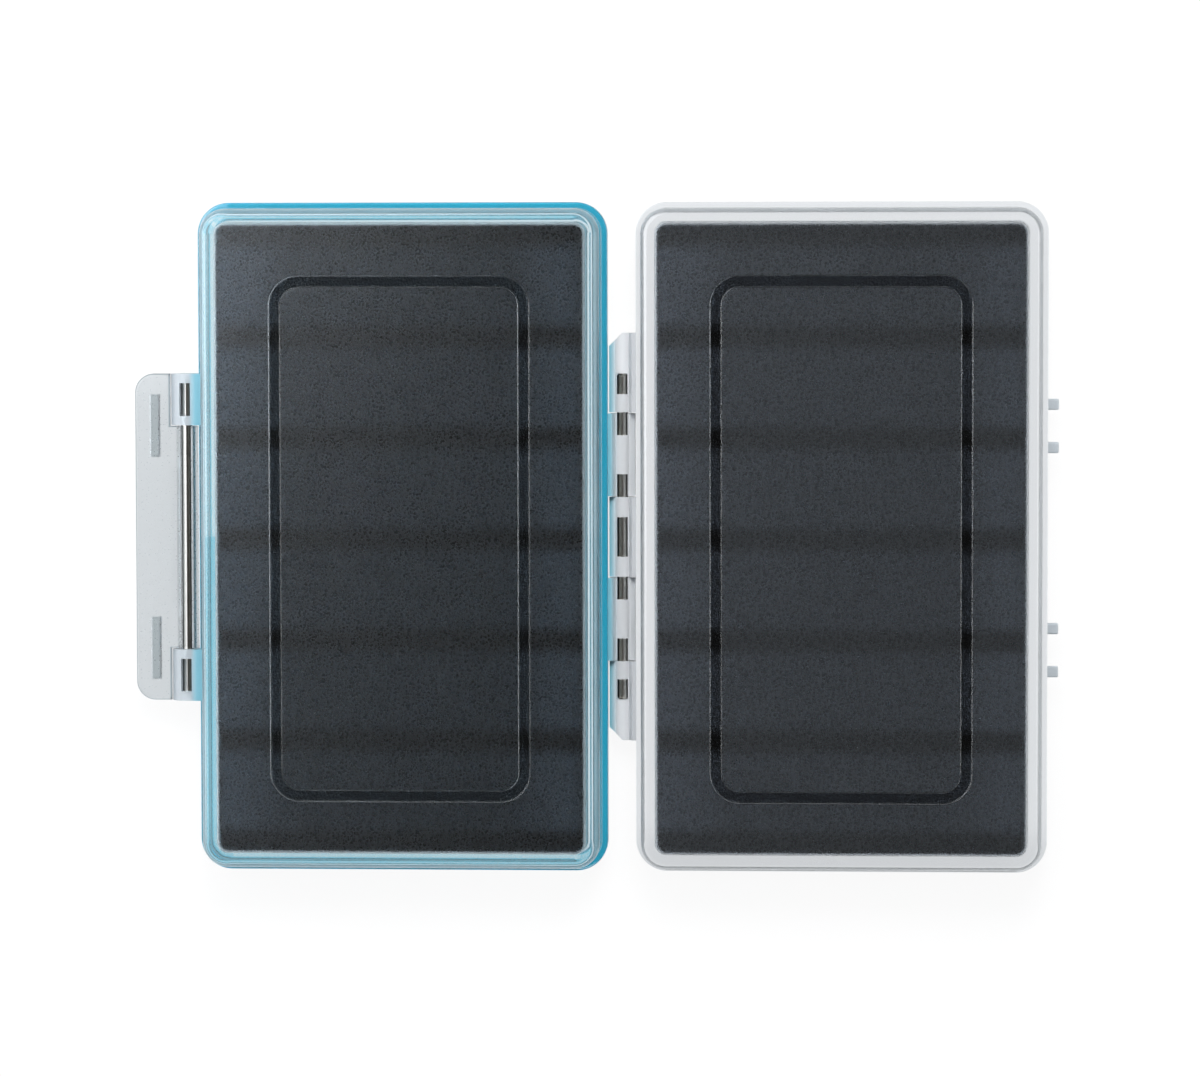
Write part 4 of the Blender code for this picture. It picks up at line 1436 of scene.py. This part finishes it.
@dataclass
class Studio:
    """A white table under soft light, seen from above as in the photograph.

    Its places and sizes are in metres, the camera's turn in degrees and its focal length in pixels of an
    image as wide as the photograph.
    """

    table_half_size: float = 0.45
    table_steps: int = 8
    camera_place: tuple[float, float, float] = (0.0528, 0.0551, 0.9157)
    camera_turn: tuple[float, float, float] = (-3.47, 3.26, -0.10)
    camera_span: tuple[float, float] = (0.05, 20.0)
    focal_pixels: float = 5104.0
    ring_rise: tuple[float, float] = (0.1, 0.4)
    ring_fall: tuple[float, float] = (0.5, 0.92)
    ring_level: float = 0.7
    room_level: float = 0.04
    daylight: str = "#f0f5fb"
    square_box: tuple[float, float] = (0.3, 0.3)
    strip_box: tuple[float, float] = (0.3, 0.7)

    def table(self) -> bpy.types.Object:
        """Lay the table's sheet: a flat grid on the plane on which the case lies.

        Returns:
            The sheet.
        """
        count = self.table_steps + 1
        place = np.linspace(-self.table_half_size, self.table_half_size, count)
        across, along = np.meshgrid(place, place, indexing="ij")
        points = np.stack((across, along, np.zeros_like(across)), axis=-1).reshape(-1, 3)
        step = np.arange(self.table_steps)
        first = (step[:, None] * count + step).ravel()
        faces = np.stack((first, first + count, first + count + 1, first + 1), axis=-1)
        mesh = bpy.data.meshes.new("table_sheet")
        mesh.from_pydata(points.tolist(), [], faces.tolist())
        mesh.materials.append(TableSheet().material())
        sheet = bpy.data.objects.new("table_sheet", mesh)
        bpy.context.scene.collection.objects.link(sheet)
        return sheet

    def sky(self) -> None:
        """Light the room: bright low down, where the softboxes stand, and dark overhead."""
        world = bpy.data.worlds.new("studio_room")
        world.use_nodes = True
        tree = world.node_tree
        tree.nodes.clear()
        way = add_node(tree, "TexCoord").outputs["Generated"]
        up = add_node(tree, "SeparateXYZ", Vector=way).outputs["Z"]
        rise = add_node(tree, "MapRange", SMOOTH, Value=up, From_Min=self.ring_rise[0],
                        From_Max=self.ring_rise[1])
        fall = add_node(tree, "MapRange", SMOOTH, Value=up, From_Min=self.ring_fall[0],
                        From_Max=self.ring_fall[1], To_Min=self.ring_level, To_Max=0.0)
        ring = add_node(tree, "Math", {"operation": "MULTIPLY"}, Value_0=rise, Value_1=fall)
        level = add_node(tree, "Math", {"operation": "ADD"}, Value_0=ring, Value_1=self.room_level)
        # The camera sees a white backdrop; everything else sees the dim room.
        rays = add_node(tree, "LightPath").outputs
        strength = add_node(tree, "Mix", {"data_type": "FLOAT"}, Factor_0=rays["Is Camera Ray"], A_2=level,
                            B_3=1.0)
        back = add_node(tree, "Background", Color=(1.0, 1.0, 1.0, 1.0), Strength=strength)
        add_node(tree, "OutputWorld", Surface=back)
        bpy.context.scene.world = world

    def softbox(self, name: str, place: tuple[float, float, float], size: tuple[float, float],
                radiance: float, colour: str = "#ffffff") -> bpy.types.Object:
        """Hang an oblong softbox that faces the case.

        Its power is pi times its area times the light that each part of it gives.

        Args:
            name: The lamp's name.
            place: Where it hangs, in metres.
            size: Its width and its length, in metres.
            radiance: How bright it looks, where 1 is white.
            colour: Its colour.

        Returns:
            The lamp.
        """
        light = bpy.data.lights.new(name, "AREA")
        light.shape = "RECTANGLE"
        light.size, light.size_y = size
        light.energy = math.pi * size[0] * size[1] * radiance
        light.color = linear(colour)[:3]
        lamp = bpy.data.objects.new(name, light)
        bpy.context.scene.collection.objects.link(lamp)
        lamp.location = place
        lamp.rotation_euler = (-Vector(place)).to_track_quat("-Z", "Y").to_euler()
        return lamp

    def camera(self) -> None:
        """Set the camera at the photograph's viewing angle."""
        data = bpy.data.cameras.new("camera")
        data.sensor_width = SENSOR_WIDTH
        data.lens = self.focal_pixels / IMAGE_WIDTH * SENSOR_WIDTH
        data.clip_start, data.clip_end = self.camera_span
        camera = bpy.data.objects.new("camera", data)
        bpy.context.scene.collection.objects.link(camera)
        camera.location = self.camera_place
        camera.rotation_euler = Euler([math.radians(angle) for angle in self.camera_turn])
        bpy.context.scene.camera = camera

    def build(self) -> None:
        """Set up the table, the light and the camera."""
        self.camera()
        self.table()
        self.sky()
        self.softbox("upper_left_softbox", (-0.19, 0.13, 0.2), self.square_box, 2.85, self.daylight)
        self.softbox("lower_left_softbox", (-0.19, -0.13, 0.2), self.square_box, 0.3, self.daylight)
        self.softbox("left_strip", (-0.8, 0.0, 0.38), self.strip_box, 1.8)
        self.softbox("right_strip", (0.8, 0.0, 0.38), self.strip_box, 1.8)
        # The overhead fill only lights milky and matt surfaces, such as those in the gap over the hinge.
        fill = self.softbox("overhead_fill", (0.05, 0.34, 0.36), self.square_box, 14.0)
        fill.visible_glossy = fill.visible_transmission = fill.visible_camera = False
        bpy.context.scene.view_settings.view_transform = "Standard"


# Each piece's finishes, with what they give the eye


# The seal's blue, painted into the plastic beside it as the seal's light.
PAINTED_SEAL_GLOW = "#8ccfe2"

LID_FINISHES = {
    # The textured outer face: frosted, with fine specks, so that the foam shows as a soft dark grey.
    Coat.FROSTED: ClearPolycarbonate("textured_lid_polycarbonate", "#e4edf7", 0.29, roughness_spread=0.06,
                                     grain=0.3, grain_depth=0.25, milkiness=0.0185, fleck=0.3),
    # The polished groove and bores: clear, so that they show darker, with thin bright lines at their edges.
    Coat.POLISHED: ClearPolycarbonate("polished_polycarbonate", "#f4f8fb", 0.11, grain=0.8,
                                      grain_depth=0.003),
    # The satin walls and rims: clear with a soft sheen, and bright where the table shows through.
    Coat.SATIN: ClearPolycarbonate("satin_polycarbonate", "#eceff2", 0.1),
    # The blasted catches and ears: pale and cloudy, and painted blue next to the seal as its light.
    Coat.BLASTED: ClearPolycarbonate("blasted_polycarbonate", "#c4ccd2", 0.4, roughness_spread=0.04,
                                     grain=0.4, grain_depth=0.1, milkiness=0.45, painted_seal_glow=PAINTED_SEAL_GLOW),
    # The flange's upright edge, where the eye looks along the plastic: painted shade, a thin grey outline.
    Coat.EDGE: ClearPolycarbonate("painted_outline_polycarbonate", "#7f9099", 0.3),
    # The base's lip, which the seal lies round: painted light, the seal's blue carried up through the rim.
    Coat.PAINTED_SEAL_LIGHT: ClearPolycarbonate("painted_seal_light_polycarbonate", "#46b0d3", 0.3),
    # The thick knuckles: milky and nearly white, and painted blue next to the seal as its light.
    Coat.MILKY: ClearPolycarbonate("milky_polycarbonate", "#eceef1", 0.32, roughness_spread=0.04, grain=0.4,
                                   grain_depth=0.05, milkiness=0.6, painted_seal_glow=PAINTED_SEAL_GLOW),
    # The cavity's wall: cloudy, so that it frames the dark foam with a pale line.
    Coat.CAVITY: ClearPolycarbonate("cavity_wall_polycarbonate", "#f2f6f8", 0.35, roughness_spread=0.03,
                                    grain_depth=0.02, milkiness=0.55),
}

BASE_FINISHES = {
    # The textured outer face: as the lid's, with a little less haze, so that it looks darker.
    Coat.FROSTED: ClearPolycarbonate("textured_base_polycarbonate", "#e4edf7", 0.29, roughness_spread=0.05,
                                     grain=0.3, grain_depth=0.22, milkiness=0.003, fleck=0.26),
    # The satin walls and rims: clear, with a breath of the seal's blue painted in as its light.
    Coat.SATIN: ClearPolycarbonate("satin_base_painted_seal_blue_polycarbonate", "#e2f3f9", 0.1, milkiness=0.01),
    # The flange's edge: painted cyan, as the glow of the seal behind it.
    Coat.EDGE: ClearPolycarbonate("painted_seal_glow_edge_polycarbonate", "#63b6ca", 0.3),
}

LATCH_FINISHES = {
    # The satin flap: see-through and softly blurred, so that the table shows as an even pale grey.
    Coat.SATIN: ClearPolycarbonate("satin_latch_polycarbonate", "#d8dde0", 0.3, roughness_spread=0.03,
                                   grain=0.4),
    # The rough beds of its recesses: painted shade, two darker grey bars.
    Coat.BLASTED: ClearPolycarbonate("painted_shade_recess_polycarbonate", "#8c999d", 0.45, roughness_spread=0.03,
                                     grain=0.4, grain_depth=0.1),
}


def with_own(shared: list[bpy.types.Material],
             own: dict[Coat, ClearPolycarbonate]) -> list[bpy.types.Material]:
    """A piece's materials: the shared ones, with its own finishes in their places.

    Args:
        shared: The shared materials, in the order of Coat.
        own: The piece's own finishes.

    Returns:
        The piece's materials, in the order of Coat.
    """
    plastics = list(shared)
    for coat, finish in own.items():
        plastics[coat.value] = finish.material()
    return plastics


def main() -> None:
    """Build the case piece by piece and set it on its table."""
    logging.basicConfig(level=logging.INFO, format="%(message)s")
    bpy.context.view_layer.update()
    lid_plastics = [LID_FINISHES[coat].material() for coat in Coat]
    sizes = CaseSizes()
    base = BaseHalf(sizes, Side.BASE, with_own(lid_plastics, BASE_FINISHES),
                    knuckle_spans=at_both_ends(7.35, 22.15),
                    window_spans=[(6.85, 11.25), (18.25, 22.65), (-11.25, -6.85), (-22.65, -18.25)],
                    bore_half_length=36.55)
    lid = LidHalf(sizes, Side.LID, lid_plastics,
                  knuckle_spans=[(-7.15, 7.15), *at_both_ends(22.35, 36.55)],
                  window_spans=[(-3.55, 3.55), *at_both_ends(25.6, 29.3)],
                  bore_half_length=29.6)
    # The latch has only the finishes that come before the painted seal light.
    latch_plastics = with_own(lid_plastics[:Coat.PAINTED_SEAL_LIGHT.value], LATCH_FINISHES)
    base.build()
    lid.build()
    RimSeal(base, Silicone().material()).build()
    # The lid's foam is seen to be a little lighter, and the block has no painted valley shade or wall
    # light.
    lid_foam = CellFoam("lighter_closed_cell_polyethylene_foam", "#3a3d42", painted_wall_light_gain=2.0)
    block_foam = CellFoam("sawn_closed_cell_polyethylene_foam", painted_valley_shade=0.0, painted_wall_light_gain=1.0).material()
    for half, body, foam in ((base, "base", CellFoam().material()), (lid, "lid", lid_foam.material())):
        FoamSheet(half, body, foam).build()
        FoamCradle(half, body, block_foam).build()
    # The hinge pin is painted bright on its right side, and the latch pin on its left, as highlights.
    hinge_steel = GroundSteel("ground_hinge_steel", sizes.hinge_x, "#c9bfb2", "#f6f1e8").material()
    latch_steel = GroundSteel("ground_latch_steel", base.latch_axis[0], "#f2efe9", "#8b847b").material()
    SteelPin("hinge_pin_rod", "hinge_pin", base.hinge_axis, 29.3, hinge_steel).build()
    SteelPin("latch_pin_rod", "latch_pin", base.latch_axis, 28.5, latch_steel).build()
    Latch(latch_plastics, base.latch_axis).build()
    Studio().build()


if __name__ == "__main__":
    main()
